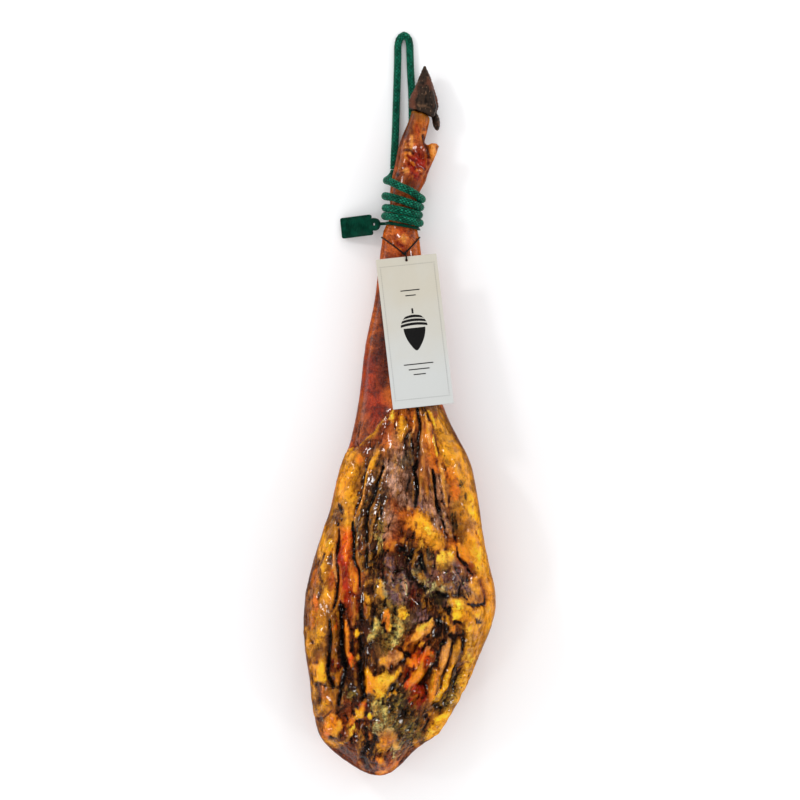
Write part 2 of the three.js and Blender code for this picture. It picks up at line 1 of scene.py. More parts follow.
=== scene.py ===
"""A whole bone-in cured ham with its rope, seal and card tag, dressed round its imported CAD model.

The CAD frame stays fixed. Every piece here is in metres, in the frame's own axes: +Y along the leg
to the hoof, +X across the lean face, +Z up from the table.
"""

import itertools
import math

import bmesh
import bpy
import numpy as np
from bpy.props import FloatProperty, FloatVectorProperty, IntProperty, PointerProperty
from bpy.types import Operator, Panel, PropertyGroup
from mathutils import Matrix, Vector
from mathutils.bvhtree import BVHTree


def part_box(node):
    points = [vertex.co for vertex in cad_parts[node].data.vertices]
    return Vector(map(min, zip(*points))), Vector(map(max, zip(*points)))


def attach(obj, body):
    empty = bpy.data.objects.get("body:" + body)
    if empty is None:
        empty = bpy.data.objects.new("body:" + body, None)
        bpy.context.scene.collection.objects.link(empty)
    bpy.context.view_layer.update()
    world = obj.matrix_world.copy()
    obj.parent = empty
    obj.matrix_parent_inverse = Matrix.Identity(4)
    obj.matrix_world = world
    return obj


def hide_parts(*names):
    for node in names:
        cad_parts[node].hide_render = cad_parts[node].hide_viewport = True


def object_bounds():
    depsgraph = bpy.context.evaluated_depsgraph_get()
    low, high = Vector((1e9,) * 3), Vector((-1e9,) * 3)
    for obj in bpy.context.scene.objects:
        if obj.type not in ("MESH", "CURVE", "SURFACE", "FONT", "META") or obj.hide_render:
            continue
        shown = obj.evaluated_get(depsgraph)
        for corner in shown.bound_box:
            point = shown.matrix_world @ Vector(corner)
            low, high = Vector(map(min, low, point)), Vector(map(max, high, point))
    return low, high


bl_info = {
    "name": "Cured ham",
    "version": (1, 0, 0),
    "blender": (4, 5, 0),
    "location": "3D Viewport > Sidebar > Cured ham",
    "description": "Dresses a cured ham, its hooves, rope, seal, card and string",
    "category": "Object",
}

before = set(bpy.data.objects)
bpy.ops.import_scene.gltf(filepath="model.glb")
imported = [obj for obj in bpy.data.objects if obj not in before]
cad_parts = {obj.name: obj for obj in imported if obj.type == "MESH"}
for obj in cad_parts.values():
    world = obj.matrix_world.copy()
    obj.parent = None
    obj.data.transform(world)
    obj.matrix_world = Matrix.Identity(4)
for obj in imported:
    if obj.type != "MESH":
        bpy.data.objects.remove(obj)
CAD_BOX = [[float(value) for value in corner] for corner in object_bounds()]
MM = 0.001
BODY = "root"

# Finishes of the meat. Each has its sRGB colour, how wet, crusted, fibrous and mouldy it is, and what it is.
FINISHES = {
    "skin": ((160, 84, 30), 0.45, 0.0, 0.25, 0.0, "Rind of the shank"),
    "skin_red": ((154, 58, 24), 0.6, 0.0, 0.25, 0.0, "Rind where it is reddest"),
    "skin_brown": ((140, 80, 50), 0.3, 0.1, 0.3, 0.0, "Rind where it is dull"),
    # Dark rind: a tone of its own, and also painted shade in folds and the card's painted shadow beside it
    "skin_dark": ((86, 38, 20), 0.4, 0.15, 0.25, 0.0, "Rind in folds and beside the card"),
    "skin_amber": ((176, 98, 34), 0.45, 0.0, 0.25, 0.0, "Rind over bone and at the toe"),
    # Painted highlight on the rind where it shines
    "skin_pale": ((208, 146, 112), 0.5, 0.0, 0.1, 0.0, "Rind where it shines"),
    "fat_gold": ((202, 146, 28), 0.45, 0.05, 0.12, 0.0, "Old fat"),
    "fat_yellow": ((240, 180, 44), 0.45, 0.0, 0.04, 0.0, "Fresh fat"),
    "fat_cream": ((246, 196, 84), 0.4, 0.0, 0.05, 0.0, "Palest fat"),
    "fat_orange": ((200, 114, 16), 0.5, 0.0, 0.12, 0.0, "Reddened fat"),
    "fat_brown": ((116, 68, 14), 0.4, 0.3, 0.35, 0.1, "Browned fat"),
    "ochre": ((158, 106, 38), 0.2, 0.3, 0.5, 0.25, "Dull fat"),
    "rust": ((156, 76, 14), 0.35, 0.1, 0.5, 0.0, "Meat stained with fat"),
    # Gristle, also laid in small marks as painted highlights on ridges
    "gristle": ((206, 150, 108), 0.7, 0.0, 0.05, 0.0, "Sinew and pale ridges"),
    "meat_mauve": ((188, 144, 136), 0.45, 0.15, 0.6, 0.05, "Dry muscle"),
    "meat_brown": ((112, 66, 36), 0.4, 0.45, 0.85, 0.15, "Dark dry muscle"),
    "meat_red": ((116, 26, 6), 0.8, 0.2, 0.7, 0, "Lean meat"),
    "ruby": ((150, 18, 6), 1, 0.05, 0.3, 0, "Moist lean meat"),
    "orange_red": ((226, 92, 10), 0.95, 0.05, 0.25, 0, "Lean meat with fat melted in"),
    "seam": ((58, 20, 9), 0.4, 0.2, 0.4, 0.0, "Seam between muscles"),
    # Painted shade in a deep furrow, also laid on the low strands of the lean meat
    "black": ((58, 28, 14), 0.3, 0.3, 0.4, 0.0, "Deep furrow"),
    # Grey mould on muscle, also laid as painted sheen on its wet ridges
    "grey": ((134, 116, 110), 0.35, 0.3, 0.8, 0.3, "Grey bloom on muscle"),
    # Purple-grey muscle, partly painted sheen on its wet surface
    "grey_purple": ((130, 98, 112), 0.6, 0.35, 0.5, 0.3, "Purple bloom on muscle"),
    "moss": ((52, 46, 26), 0.1, 0.6, 0.3, 0.3, "Black-green mould"),
    "olive": ((162, 136, 72), 0.2, 0.9, 0.5, 0.5, "Olive mould"),
    "moss_brown": ((92, 68, 36), 0.25, 0.9, 0.9, 0.6, "Dark meat with olive mould in it"),
    "dark_meat": ((60, 30, 16), 0.35, 0.6, 1.0, 0.2, "Darkest dry muscle"),
    "mould": ((216, 194, 138), 0.1, 0.7, 0.3, 0.6, "Pale green mould"),
    "mould_white": ((212, 200, 166), 0.1, 0.6, 0.3, 0.8, "White mould"),
}

# Marks on the lean face: finish, half width, height, then the points along it, all in millimetres.
# Broad marks are painted first, so a narrow one lies over them.
# Marks of the black finish are painted shade, and those of the grey finishes are partly painted sheen.
FIELDS = [
    ("meat_brown", 64, 0, (8, 60), (2, -60), (0, -160), (-2, -260), (-14, -360)),
    ("fat_gold", 19, 2, (-58, -40), (-72, -100), (-88, -160), (-97, -230), (-95, -300), (-86, -350)),
    ("fat_gold", 22, 2, (46, 8), (66, -40), (80, -95), (88, -140)),
    ("fat_gold", 17, 2, (88, -140), (98, -195), (92, -250), (76, -292), (50, -335), (30, -362)),
    ("rust", 26, 0, (-84, -352), (-60, -376), (-30, -396), (0, -390)),
    ("fat_brown", 14, 0, (-84, -112), (-106, -160), (-110, -225), (-106, -290), (-98, -345)),
    ("fat_yellow", 12, 0, (84, -110), (98, -170), (101, -220), (92, -265), (78, -295)),
    ("rust", 12, 0, (-20, -402), (10, -392), (30, -372)),
    ("skin_amber", 17, 0, (-22, -14), (-6, 8), (12, 8)),
    ("fat_brown", 12, 0, (-24, -30), (-34, -60)),
    ("meat_mauve", 22, 0, (2, -36), (4, -66), (6, -96)),
    ("meat_mauve", 14, 0, (28, -30), (36, -80), (46, -118)),
    ("moss_brown", 21, 0, (-28, -84), (-32, -120), (-30, -162)),
    ("rust", 14, 0, (-6, -108), (-8, -140)),
    ("dark_meat", 20, 0, (-14, -152), (16, -158), (34, -150)),
    ("grey_purple", 20, 0, (-8, -180), (14, -190), (44, -186), (76, -194)),
    ("orange_red", 11, 0, (-60, -130), (-62, -160), (-60, -196)),
    ("meat_red", 22, 0, (-66, -210), (-68, -260), (-66, -312)),
    ("seam", 18, 0, (-60, -214), (-60, -260), (-58, -322)),
    ("seam", 13, 0, (-42, -190), (-42, -240), (-46, -310)),
    ("olive", 20, 0, (-12, -206), (-14, -232), (-10, -254)),
    ("dark_meat", 14, 0, (34, -206), (46, -232), (56, -246)),
    ("rust", 18, 0, (20, -262), (28, -290), (24, -316)),
    ("moss_brown", 15, 0, (64, -278), (58, -304), (46, -324)),
    ("olive", 22, 0, (-20, -318), (-4, -340), (8, -362)),
    ("moss_brown", 18, 0, (-10, -306), (4, -322), (16, -340)),
    ("fat_brown", 12, 0, (-92, -330), (-84, -352), (-70, -370)),
    ("rust", 14, 0, (-72, -344), (-56, -358), (-46, -372)),
    ("dark_meat", 12, 0, (-40, -352), (-38, -380)),
]
UPPER_MARKS = [
    # Painted shade under the cut edge of the skin
    ("rust", 4, 0, (-40, -32), (-28, -18), (-14, 2)),
    # Pale fat along the cut edge, partly a painted highlight
    ("fat_gold", 1.8, 0.8, (-45, -27), (-30, -12), (-18, 4), (-14, 10)),
    ("gristle", 2, 0, (-48, -33), (-49, -32)),
    # Painted highlight along the left rim
    ("skin_pale", 1.6, 0.5, (-62, -40), (-70, -70), (-78, -95)),
    ("fat_gold", 12, 2, (-54, -33), (-56, -50), (-60, -70), (-60, -90), (-54, -105)),
    ("fat_orange", 5, 0, (-47, -40), (-46, -43)),
    ("meat_brown", 3, 0, (-40, -40), (-36, -48)),
    # A tendon along the fat, its pale line partly a painted highlight
    ("gristle", 1.5, 1.8, (-33, -45), (-38, -58), (-40, -75), (-42, -90), (-45, -100), (-49, -112)),
    ("fat_brown", 5, 1, (-22, -32), (-28, -40), (-33, -55), (-37, -75)),
    ("fat_gold", 3, 1, (-24, -33), (-29, -42), (-34, -58)),
    ("black", 2.5, -3.2, (-20, -52), (-24, -65), (-28, -78), (-34, -92), (-38, -105), (-40, -125),
     (-38, -150), (-37, -165)),
    ("rust", 6, 0, (-22, -15), (-15, -5), (-10, 8)),
    ("fat_cream", 4.5, 2.4, (-10, 8), (-9, 6)),
    ("skin_amber", 8, 0.5, (-15, -30), (-12, -15)),
    ("fat_gold", 5, 2, (2, 5), (3, -10), (0, -18)),
    ("fat_gold", 4, 0, (5, 0), (8, -12)),
    ("skin_amber", 4, 0, (10, 5), (14, -5)),
    ("seam", 2.4, -3.1, (19, 15), (21, 5), (22, -8), (20, -25), (19, -45), (18, -60), (19, -80), (18, -95)),
    ("seam", 1.9, -1.4, (14, -20), (15, -40), (16, -60)),
    # Painted sheen on the ridges, and a patch of the same painted sheen
    ("grey", 2, 1.5, (12, -15), (13, -30), (15, -50)),
    ("grey", 5, 0, (8, -37), (8, -43)),
    ("gristle", 1.4, 0.8, (16, 8), (15, -5), (15, -12)),
    ("meat_mauve", 11, 1, (-5, -25), (-5, -50), (-2, -75)),
    ("grey", 5, 0, (4, -43), (4, -50)),
    ("skin_brown", 6, 1, (27, 0), (27, -20), (28, -45), (31, -80)),
    ("gristle", 1.6, 1.6, (29, 12), (31, -8), (33, -30)),
    ("fat_orange", 5, 2, (33, -5), (36, -25), (40, -45), (50, -60)),
    ("fat_cream", 1.2, 0.8, (33, 14), (36, 8), (40, -8)),
    ("fat_cream", 1.2, 0.8, (37, -15), (40, -30), (43, -38)),
    ("fat_gold", 10, 1, (42, 0), (48, -15), (52, -35), (60, -55)),
    ("skin_brown", 4, 0.5, (50, 15), (58, 0), (65, -20), (69, -28)),
    ("rust", 4, 0, (40, 8), (41, 7)),
    ("fat_gold", 8, 1, (62, -30), (72, -45), (78, -65), (82, -90)),
    ("gristle", 2.2, 2.4, (45, -47), (48, -58), (51, -75), (53, -95)),
    ("seam", 2, -2.4, (38, -55), (40, -70), (42, -85), (46, -100)),
    ("fat_orange", 5, 1, (55, -55), (60, -70), (62, -85)),
    ("moss", 3, 0, (68, -67), (69, -70)),
    ("moss", 2.6, 0, (72, -80), (74, -86)),
    ("seam", 3.2, -1.4, (-66, -95), (-64, -105)),
]
LEFT_MARKS = [
    ("fat_gold", 6, 1, (-60, -82), (-57, -95), (-55, -108), (-58, -116)),
    ("meat_brown", 7, -1, (-70, -105), (-68, -118)),
    ("black", 2.1, -0.7, (-66, -99), (-66, -102)),
    ("fat_gold", 6, 1.5, (-85, -120), (-85, -135), (-88, -145), (-90, -160), (-88, -175), (-82, -195)),
    ("fat_yellow", 3.4, 1, (-78, -135), (-80, -145)),
    ("grey_purple", 4, 0, (-78, -155), (-75, -163)),
    ("black", 2.4, -3.3, (-70, -118), (-69, -135), (-71, -150), (-72, -165), (-72, -185), (-74, -205),
     (-78, -215)),
    ("gristle", 1.1, 0.5, (-73, -130), (-74, -160), (-73, -180)),
    ("orange_red", 6, 2.6, (-57, -126), (-60, -140), (-61, -155)),
    ("ruby", 8, 1, (-65, -145), (-64, -165), (-62, -185), (-63, -195)),
    ("fat_orange", 4, 1.5, (-55, -160), (-55, -175), (-52, -190)),
    ("black", 4.4, -3.2, (-68, -205), (-65, -215)),
    ("black", 2, -3.1, (-52, -115), (-52, -135), (-51, -155), (-48, -170), (-46, -185)),
    ("grey", 2, 1, (-48, -110), (-47, -125), (-48, -145)),
    ("black", 3.2, -1.4, (-40, -115), (-38, -135)),
    ("ochre", 4, 0.5, (-33, -95), (-30, -110), (-32, -125)),
    ("olive", 4, 0.5, (-22, -110), (-20, -122)),
    ("mould", 4, 1, (-28, -128), (-22, -135), (-22, -145)),
    ("ochre", 4, 1.6, (-46, -150), (-44, -165)),
    ("ochre", 3, 0.8, (-33, -180), (-38, -184)),
    ("fat_yellow", 4, 1.6, (-24, -180), (-22, -195), (-20, -200)),
    ("fat_gold", 5, 1, (-38, -195), (-35, -205), (-35, -215)),
    ("rust", 4.5, 2.4, (-53, -200), (-53, -228)),
    ("rust", 12, 0.6, (-8, -95), (-5, -115), (-8, -125), (-5, -135)),
    ("meat_mauve", 8, 0, (-14, -100), (-16, -125)),
    ("skin_amber", 5, 1, (-15, -140), (-8, -138)),
    ("black", 7.2, -5.6, (0, -145), (15, -152), (22, -160), (28, -165)),
    # Painted sheen on the purple muscle
    ("grey_purple", 6, 1, (-15, -155), (-8, -165), (0, -170)),
    ("grey_purple", 13, 4, (-12, -170), (-9, -186), (-6, -198)),
    ("mould_white", 1.6, 0.6, (-20, -178), (-19, -192), (-15, -202)),
    ("mould_white", 1.4, 0.6, (2, -170), (6, -184), (7, -196)),
    ("black", 4, -0.7, (-16, -182), (-14, -194)),
    ("meat_mauve", 5, 1, (3, -180), (8, -195)),
    ("fat_orange", 6, 0, (-95, -168), (-95, -180)),
    ("fat_orange", 5, 0, (-95, -200), (-94, -212)),
    ("fat_brown", 2.2, -0.6, (-104, -150), (-99, -164), (-104, -180), (-99, -192), (-102, -206)),
    ("fat_brown", 3, -0.6, (-90, -128), (-98, -142), (-93, -158), (-99, -168)),
    ("fat_brown", 2.6, -0.5, (-84, -150), (-90, -166), (-86, -184), (-92, -202)),
    ("fat_brown", 2.4, -0.4, (-106, -216), (-103, -236), (-108, -256)),
    ("fat_brown", 3, -0.5, (-98, -292), (-90, -306), (-96, -322)),
]
RIGHT_MARKS = [
    ("grey_purple", 4, 0.8, (22, -85), (25, -95), (30, -102)),
    ("fat_orange", 12, 2, (10, -110), (22, -113), (32, -123), (42, -132), (55, -137), (60, -141)),
    ("fat_yellow", 8, 3, (12, -110), (22, -114), (31, -124), (40, -132), (48, -135)),
    ("fat_cream", 3, 0.8, (28, -121), (34, -127)),
    ("fat_orange", 5, 0, (8, -106), (16, -107)),
    ("fat_yellow", 4, 1, (38, -128), (39, -132)),
    ("fat_cream", 4, 1, (23, -137), (26, -139)),
    # Painted highlight on a pale knob
    ("gristle", 2, 0.8, (10, -96), (10, -98)),
    ("skin_amber", 4, 0.6, (5, -105), (0, -108)),
    ("meat_mauve", 4, 1, (35, -100), (40, -110), (42, -118)),
    ("meat_mauve", 3, 1.2, (50, -105), (55, -120), (58, -128)),
    ("seam", 1.6, -1.8, (42, -90), (46, -105), (52, -118)),
    ("moss", 4, 0, (60, -105), (60, -115), (65, -118)),
    ("fat_brown", 6, 0.6, (70, -112), (75, -122), (68, -128)),
    ("fat_gold", 6, 0.6, (72, -95), (72, -105)),
    ("fat_yellow", 7, 1, (80, -85), (83, -110), (83, -130), (88, -150)),
    ("rust", 4.2, -2.2, (62, -130), (63, -142), (64, -150), (72, -160), (80, -170), (90, -182), (97, -200),
     (95, -207)),
    ("seam", 1.6, -2.4, (63, -140), (66, -152), (74, -162), (82, -172)),
    ("fat_orange", 4, 1, (66, -138), (70, -150), (78, -160)),
    ("fat_cream", 5, 2.4, (50, -150), (55, -153), (45, -157)),
    ("black", 1.6, -1, (52, -144), (57, -145)),
    ("grey", 4, -1.5, (33, -147), (36, -153)),
    ("ochre", 5, 1, (45, -165), (55, -162), (58, -168)),
    ("grey_purple", 5, 0, (60, -162), (68, -165)),
    ("grey_purple", 11, 4.6, (46, -180), (58, -186), (68, -180), (75, -190), (80, -198)),
    ("seam", 2.4, -1.6, (40, -190), (52, -197), (64, -195), (74, -203)),
    # Painted shadow under the purple mass
    ("seam", 2.4, -2.4, (75, -208), (85, -211), (92, -208)),
    ("mould_white", 3.4, 1.6, (15, -172), (25, -178), (38, -185), (46, -187), (35, -190), (32, -195)),
    ("ochre", 3, 0.8, (22, -172), (30, -176)),
    ("grey", 4, 0.5, (20, -165), (15, -170)),
    ("ochre", 3, 0.8, (28, -195), (25, -210)),
    ("moss", 6, -1, (38, -196), (45, -200), (50, -196)),
    ("fat_yellow", 9, 4, (60, -200), (68, -208), (75, -214), (88, -214)),
    ("fat_cream", 4, 1, (64, -203), (70, -210)),
    ("fat_yellow", 7, 1.5, (63, -216), (65, -218)),
    ("fat_yellow", 5, 1, (82, -175), (86, -183), (92, -195)),
    ("fat_gold", 7, 1, (95, -170), (100, -190), (104, -210)),
    ("ochre", 4, 0.8, (48, -215), (45, -212)),
    ("fat_brown", 4, 0.6, (35, -211), (35, -214)),
    ("meat_red", 5, 0, (12, -190), (15, -200), (13, -208)),
]
LOWER_LEFT_MARKS = [
    ("fat_gold", 5, 2.6, (-104, -235), (-102, -255), (-97, -275), (-93, -287), (-97, -305), (-95, -325),
     (-93, -335)),
    ("ochre", 4, 0.5, (-107, -215), (-107, -240)),
    ("fat_orange", 4, 0.5, (-97, -215), (-98, -235)),
    ("fat_gold", 5, 1, (-90, -235), (-92, -250)),
    ("fat_yellow", 6, 4, (-86, -275), (-88, -290)),
    # Painted shadow under the yellow lump
    ("meat_brown", 2.6, -1.5, (-92, -297), (-86, -299)),
    ("fat_orange", 6, 1, (-88, -303), (-85, -312)),
    ("fat_gold", 4, 1, (-85, -318), (-90, -330)),
    ("seam", 2.3, -3, (-80, -225), (-78, -245), (-79, -265), (-80, -285), (-76, -300)),
    ("meat_red", 5, 2.6, (-75, -228), (-73, -245), (-75, -265), (-74, -285), (-72, -295)),
    # Painted glint on the red strand
    ("orange_red", 2, 0.5, (-74, -231), (-74, -236)),
    ("black", 2.8, -3.2, (-67, -215), (-66, -235), (-66, -255), (-64, -275), (-67, -300), (-70, -320)),
    ("fat_orange", 3.6, 3.4, (-61, -225), (-60, -240), (-60, -255), (-59, -262)),
    ("fat_orange", 3.6, 2.6, (-66, -280), (-68, -288), (-71, -295)),
    ("ruby", 3, 0, (-64, -276), (-64, -280)),
    ("orange_red", 3.6, 2, (-56, -262), (-55, -276)),
    ("fat_yellow", 3, 1, (-49, -236), (-49, -240)),
    ("fat_yellow", 3, 1, (-49, -265), (-49, -269)),
    ("black", 3.4, -2.8, (-45, -215), (-45, -235), (-46, -255), (-47, -275), (-45, -295), (-43, -312)),
    ("rust", 3, 1.6, (-40, -205), (-38, -218)),
    ("ochre", 4, 0.8, (-35, -210), (-34, -225)),
    ("mould", 5, 2.4, (-27, -222), (-25, -232), (-30, -240), (-35, -245)),
    ("mould", 6, 1.6, (-8, -245), (-5, -252), (-12, -250)),
    ("fat_orange", 4, 2.4, (-14, -215), (-13, -230), (-12, -235)),
    ("fat_cream", 2, 0.5, (-10, -230), (-10, -234)),
    ("mould", 6, 1.6, (0, -222), (2, -230), (0, -238)),
    ("fat_cream", 4, 0.8, (3, -211), (3, -215)),
    ("fat_yellow", 4, 0.5, (5, -217), (5, -219)),
    ("black", 2.4, -1.4, (-22, -238), (-26, -240)),
    ("ruby", 4, -1, (-8, -262), (0, -258)),
    ("fat_orange", 5, 2.4, (-35, -287), (-33, -300), (-37, -305)),
    ("fat_yellow", 6, 3.4, (-36, -284), (-30, -296), (-18, -294), (-8, -288), (0, -280)),
    ("fat_cream", 5, 1.4, (-20, -292), (-12, -288)),
    ("fat_yellow", 6, 1.4, (-20, -302), (-24, -309)),
    ("moss", 5, -2.6, (-10, -298), (-5, -303)),
    ("fat_gold", 3, 0.8, (-12, -308), (-12, -311)),
    ("fat_gold", 3, 0.8, (-6, -306), (-6, -308)),
    ("mould", 3.6, 1.6, (-28, -315), (-28, -330)),
    ("mould", 5, 1, (-20, -320), (-15, -335)),
    ("fat_yellow", 3, 1, (-35, -333), (-35, -337)),
    ("olive", 6, -1, (-58, -300), (-58, -315)),
    ("rust", 4, 0, (-60, -318), (-60, -322)),
    ("ruby", 4.5, 2.4, (-41, -318), (-44, -326)),
    ("fat_yellow", 4.2, 3, (-44, -328), (-48, -334)),
    ("fat_orange", 4.5, 2.4, (-50, -336), (-57, -342)),
    ("fat_orange", 6, 1.5, (-75, -335), (-80, -348)),
    ("fat_gold", 4, 1, (-68, -345), (-67, -349)),
    # Painted highlight along the rim of the fat
    ("skin_pale", 1.4, -1, (-97, -342), (-88, -338), (-80, -332), (-76, -325)),
]
LOWER_RIGHT_MARKS = [
    ("grey_purple", 6, 0, (20, -215), (25, -222), (18, -228)),
    ("fat_orange", 3, 1, (26, -236), (31, -236)),
    ("seam", 4.8, -1.4, (42, -228), (45, -235), (40, -242), (50, -230)),
    ("fat_gold", 4, 1, (53, -220), (53, -228)),
    ("fat_orange", 4, 2.4, (58, -232), (60, -237)),
    ("fat_orange", 4, 1, (15, -245), (18, -242)),
    ("fat_gold", 3, 1, (22, -253), (26, -250)),
    ("rust", 4, 0, (8, -245), (12, -250)),
    ("ruby", 6, 0, (18, -258), (22, -265), (15, -272), (8, -285)),
    # Painted highlight on the wet red meat
    ("gristle", 1.6, 0.5, (28, -258), (34, -255)),
    ("orange_red", 7, 3.4, (33, -262), (25, -275), (22, -285), (10, -298)),
    ("fat_gold", 2.6, 1, (14, -294), (20, -288), (26, -279)),
    ("fat_gold", 2.6, 1, (8, -270), (12, -278)),
    ("moss", 4, -3.6, (42, -262), (38, -272), (33, -282), (27, -292), (20, -300)),
    ("grey", 3, 0, (35, -276), (34, -280)),
    ("gristle", 4, 3.4, (55, -248), (52, -262), (48, -275), (45, -285)),
    ("fat_yellow", 5, 3.4, (42, -285), (38, -298), (36, -310)),
    ("ruby", 6, -2.6, (30, -290), (25, -302), (22, -315), (15, -322)),
    ("seam", 1.8, -2.2, (58, -250), (55, -265), (50, -285), (45, -300)),
    ("fat_gold", 4, 2.4, (66, -250), (62, -262), (57, -275), (53, -290), (50, -300), (42, -315)),
    ("fat_brown", 4, 0, (68, -270), (66, -283)),
    ("olive", 6, -1, (65, -290), (60, -297), (62, -308), (52, -312), (48, -320), (55, -318)),
    ("fat_yellow", 6.5, 3.4, (74, -232), (78, -245), (76, -262), (77, -275), (74, -290), (68, -303),
     (62, -315), (55, -327), (45, -340), (38, -350)),
    ("fat_cream", 3, 0.5, (76, -245), (77, -250)),
    ("fat_cream", 3, 0.5, (77, -262), (77, -268)),
    ("fat_gold", 5, 0.5, (95, -225), (92, -245), (85, -270), (80, -290)),
    ("seam", 1.8, -1.4, (85, -223), (90, -226)),
    ("fat_brown", 3, -1.4, (62, -225), (70, -227), (72, -240), (70, -255)),
    ("seam", 3.4, -1.7, (55, -242), (62, -243), (66, -242)),
    ("moss", 4, -1, (40, -322), (45, -325)),
    ("seam", 4.8, -0.7, (25, -330), (28, -335)),
    ("olive", 6, 0, (0, -315), (-5, -322)),
    ("black", 4, -2.5, (10, -315), (5, -328), (0, -338), (-5, -345)),
    ("olive", 4, 0, (15, -335), (10, -340)),
]
RUMP_MARKS = [
    ("fat_brown", 4, 0, (-95, -350), (-92, -362)),
    ("fat_orange", 5, 1, (-80, -345), (-85, -358)),
    ("fat_gold", 5, 2.4, (-70, -350), (-75, -355)),
    ("gristle", 4, 0.8, (-68, -342), (-68, -344)),
    ("black", 2.4, -1.1, (-80, -360), (-72, -360)),
    ("fat_gold", 4, 1, (-85, -365), (-75, -368), (-65, -367)),
    ("rust", 6, 0, (-75, -372), (-60, -385), (-45, -395), (-35, -402)),
    ("ochre", 2.5, 1, (-60, -345), (-58, -358), (-62, -365)),
    ("fat_cream", 2, 1, (-52, -345), (-55, -355)),
    ("ochre", 4, 1, (-47, -353), (-44, -362), (-46, -370)),
    ("seam", 4.8, -2.1, (-40, -350), (-38, -365), (-40, -385), (-38, -395)),
    ("rust", 3, 0.5, (-35, -355), (-33, -362)),
    ("mould_white", 8, 1, (-30, -348), (-20, -345), (-12, -340), (-15, -352), (-10, -355)),
    ("fat_orange", 6, 2.4, (-20, -360), (-10, -362), (-5, -368)),
    ("fat_gold", 5, 0.8, (-25, -368), (-15, -372)),
    ("fat_orange", 5, 2.4, (-25, -387), (-20, -390)),
    ("mould_white", 5, 0.8, (-8, -375), (-3, -370), (-5, -383)),
    ("fat_orange", 6, 1, (-5, -392), (-12, -398), (-20, -402)),
    ("fat_orange", 4, 0.8, (-26, -402), (-24, -404)),
    ("olive", 8, 0, (5, -350), (12, -358), (20, -352), (15, -365)),
    ("fat_gold", 4, 0.8, (18, -365), (18, -368)),
    ("gristle", 3, 0.8, (21, -371), (23, -371)),
    ("fat_yellow", 6, 2, (50, -335), (40, -350), (33, -362)),
    ("meat_brown", 3, -1.8, (30, -340), (27, -355), (26, -366)),
]
# The ends of bone and gristle that lie on top of the meat
BONES = [
    ("seam", 8.5, -1, (-24, -275), (-8, -271), (4, -266)),
    ("gristle", 5.5, 3.6, (-21, -271), (-12, -269), (0, -266)),
    ("rust", 2.6, -1, (-14, -273), (-11, -275)),
    ("skin_amber", 5, 3, (4, -256), (14, -246), (24, -237)),
    ("gristle", 5.5, 3, (16, -244), (26, -235), (35, -228)),
    ("fat_cream", 1.4, 0.6, (18, -236), (27, -229), (35, -223)),
    ("grey_purple", 8, 1.5, (-11, -173), (-8, -186), (-5, -197)),
    ("grey_purple", 6, 1.2, (54, -184), (66, -181), (75, -191)),
    ("orange_red", 5, 2.6, (31, -260), (22, -268), (12, -274)),
    ("fat_orange", 5.5, 3, (24, -275), (16, -286), (11, -294)),
    ("fat_gold", 1.8, 1, (26, -272), (19, -282)),
    ("ruby", 5, -1.6, (27, -297), (21, -306), (15, -315)),
    ("fat_orange", 3.4, 2.4, (42, -284), (37, -300), (33, -314)),
    ("gristle", 3, 2.4, (54, -252), (50, -264), (46, -276)),
    ("fat_yellow", 2.6, 2, (58, -276), (50, -294), (42, -310)),
]
SHANK_MARKS = [
    ("skin_red", 8, 0, (-25, 25), (-30, 5), (-22, 10)),
    ("skin_brown", 9, 0, (-45, 20), (-50, -15)),
    ("skin_amber", 6, 0, (-40, -8), (-45, -22)),
    ("seam", 0.9, -0.8, (-46, 0), (-47, -10), (-50, -22), (-48, -27)),
    ("skin_red", 12, 0, (-28, 120), (-34, 60), (-36, 20)),
    # Painted shadow of the card along its left edge
    ("skin_dark", 9, 0, (-14, 170), (-20, 130), (-20, 80), (-14, 40)),
    ("skin_amber", 6, 0.4, (-29, 132), (-31, 105), (-33, 80)),
    ("skin_dark", 2, -0.3, (-33, 96), (-27, 88)),
    ("skin_amber", 8, 0, (-26, 182), (-24, 168)),
    ("skin_red", 7, 0, (-25, 32), (-28, 10)),
    ("skin_amber", 5, 0.4, (-12, 48), (-9, 20)),
    ("skin_amber", 9, 0, (14, 205), (20, 190)),
    ("skin_amber", 12, 0, (-4, 222), (-6, 205)),
    ("skin_red", 4, 0.5, (2, 228), (3, 220)),
    ("meat_red", 2.4, -1.2, (-4, 218), (-6, 212), (-4, 205), (2, 202)),
    # Painted highlight on the knob of the hock
    ("skin_pale", 4.5, 2.4, (3.4, 213), (4, 210)),
    ("skin_red", 4, 0, (2, 200), (4, 196)),
    ("skin_amber", 5, 0, (-13, 216), (-15, 200)),
    ("skin_amber", 5, 0, (18, 216), (20, 200)),
]
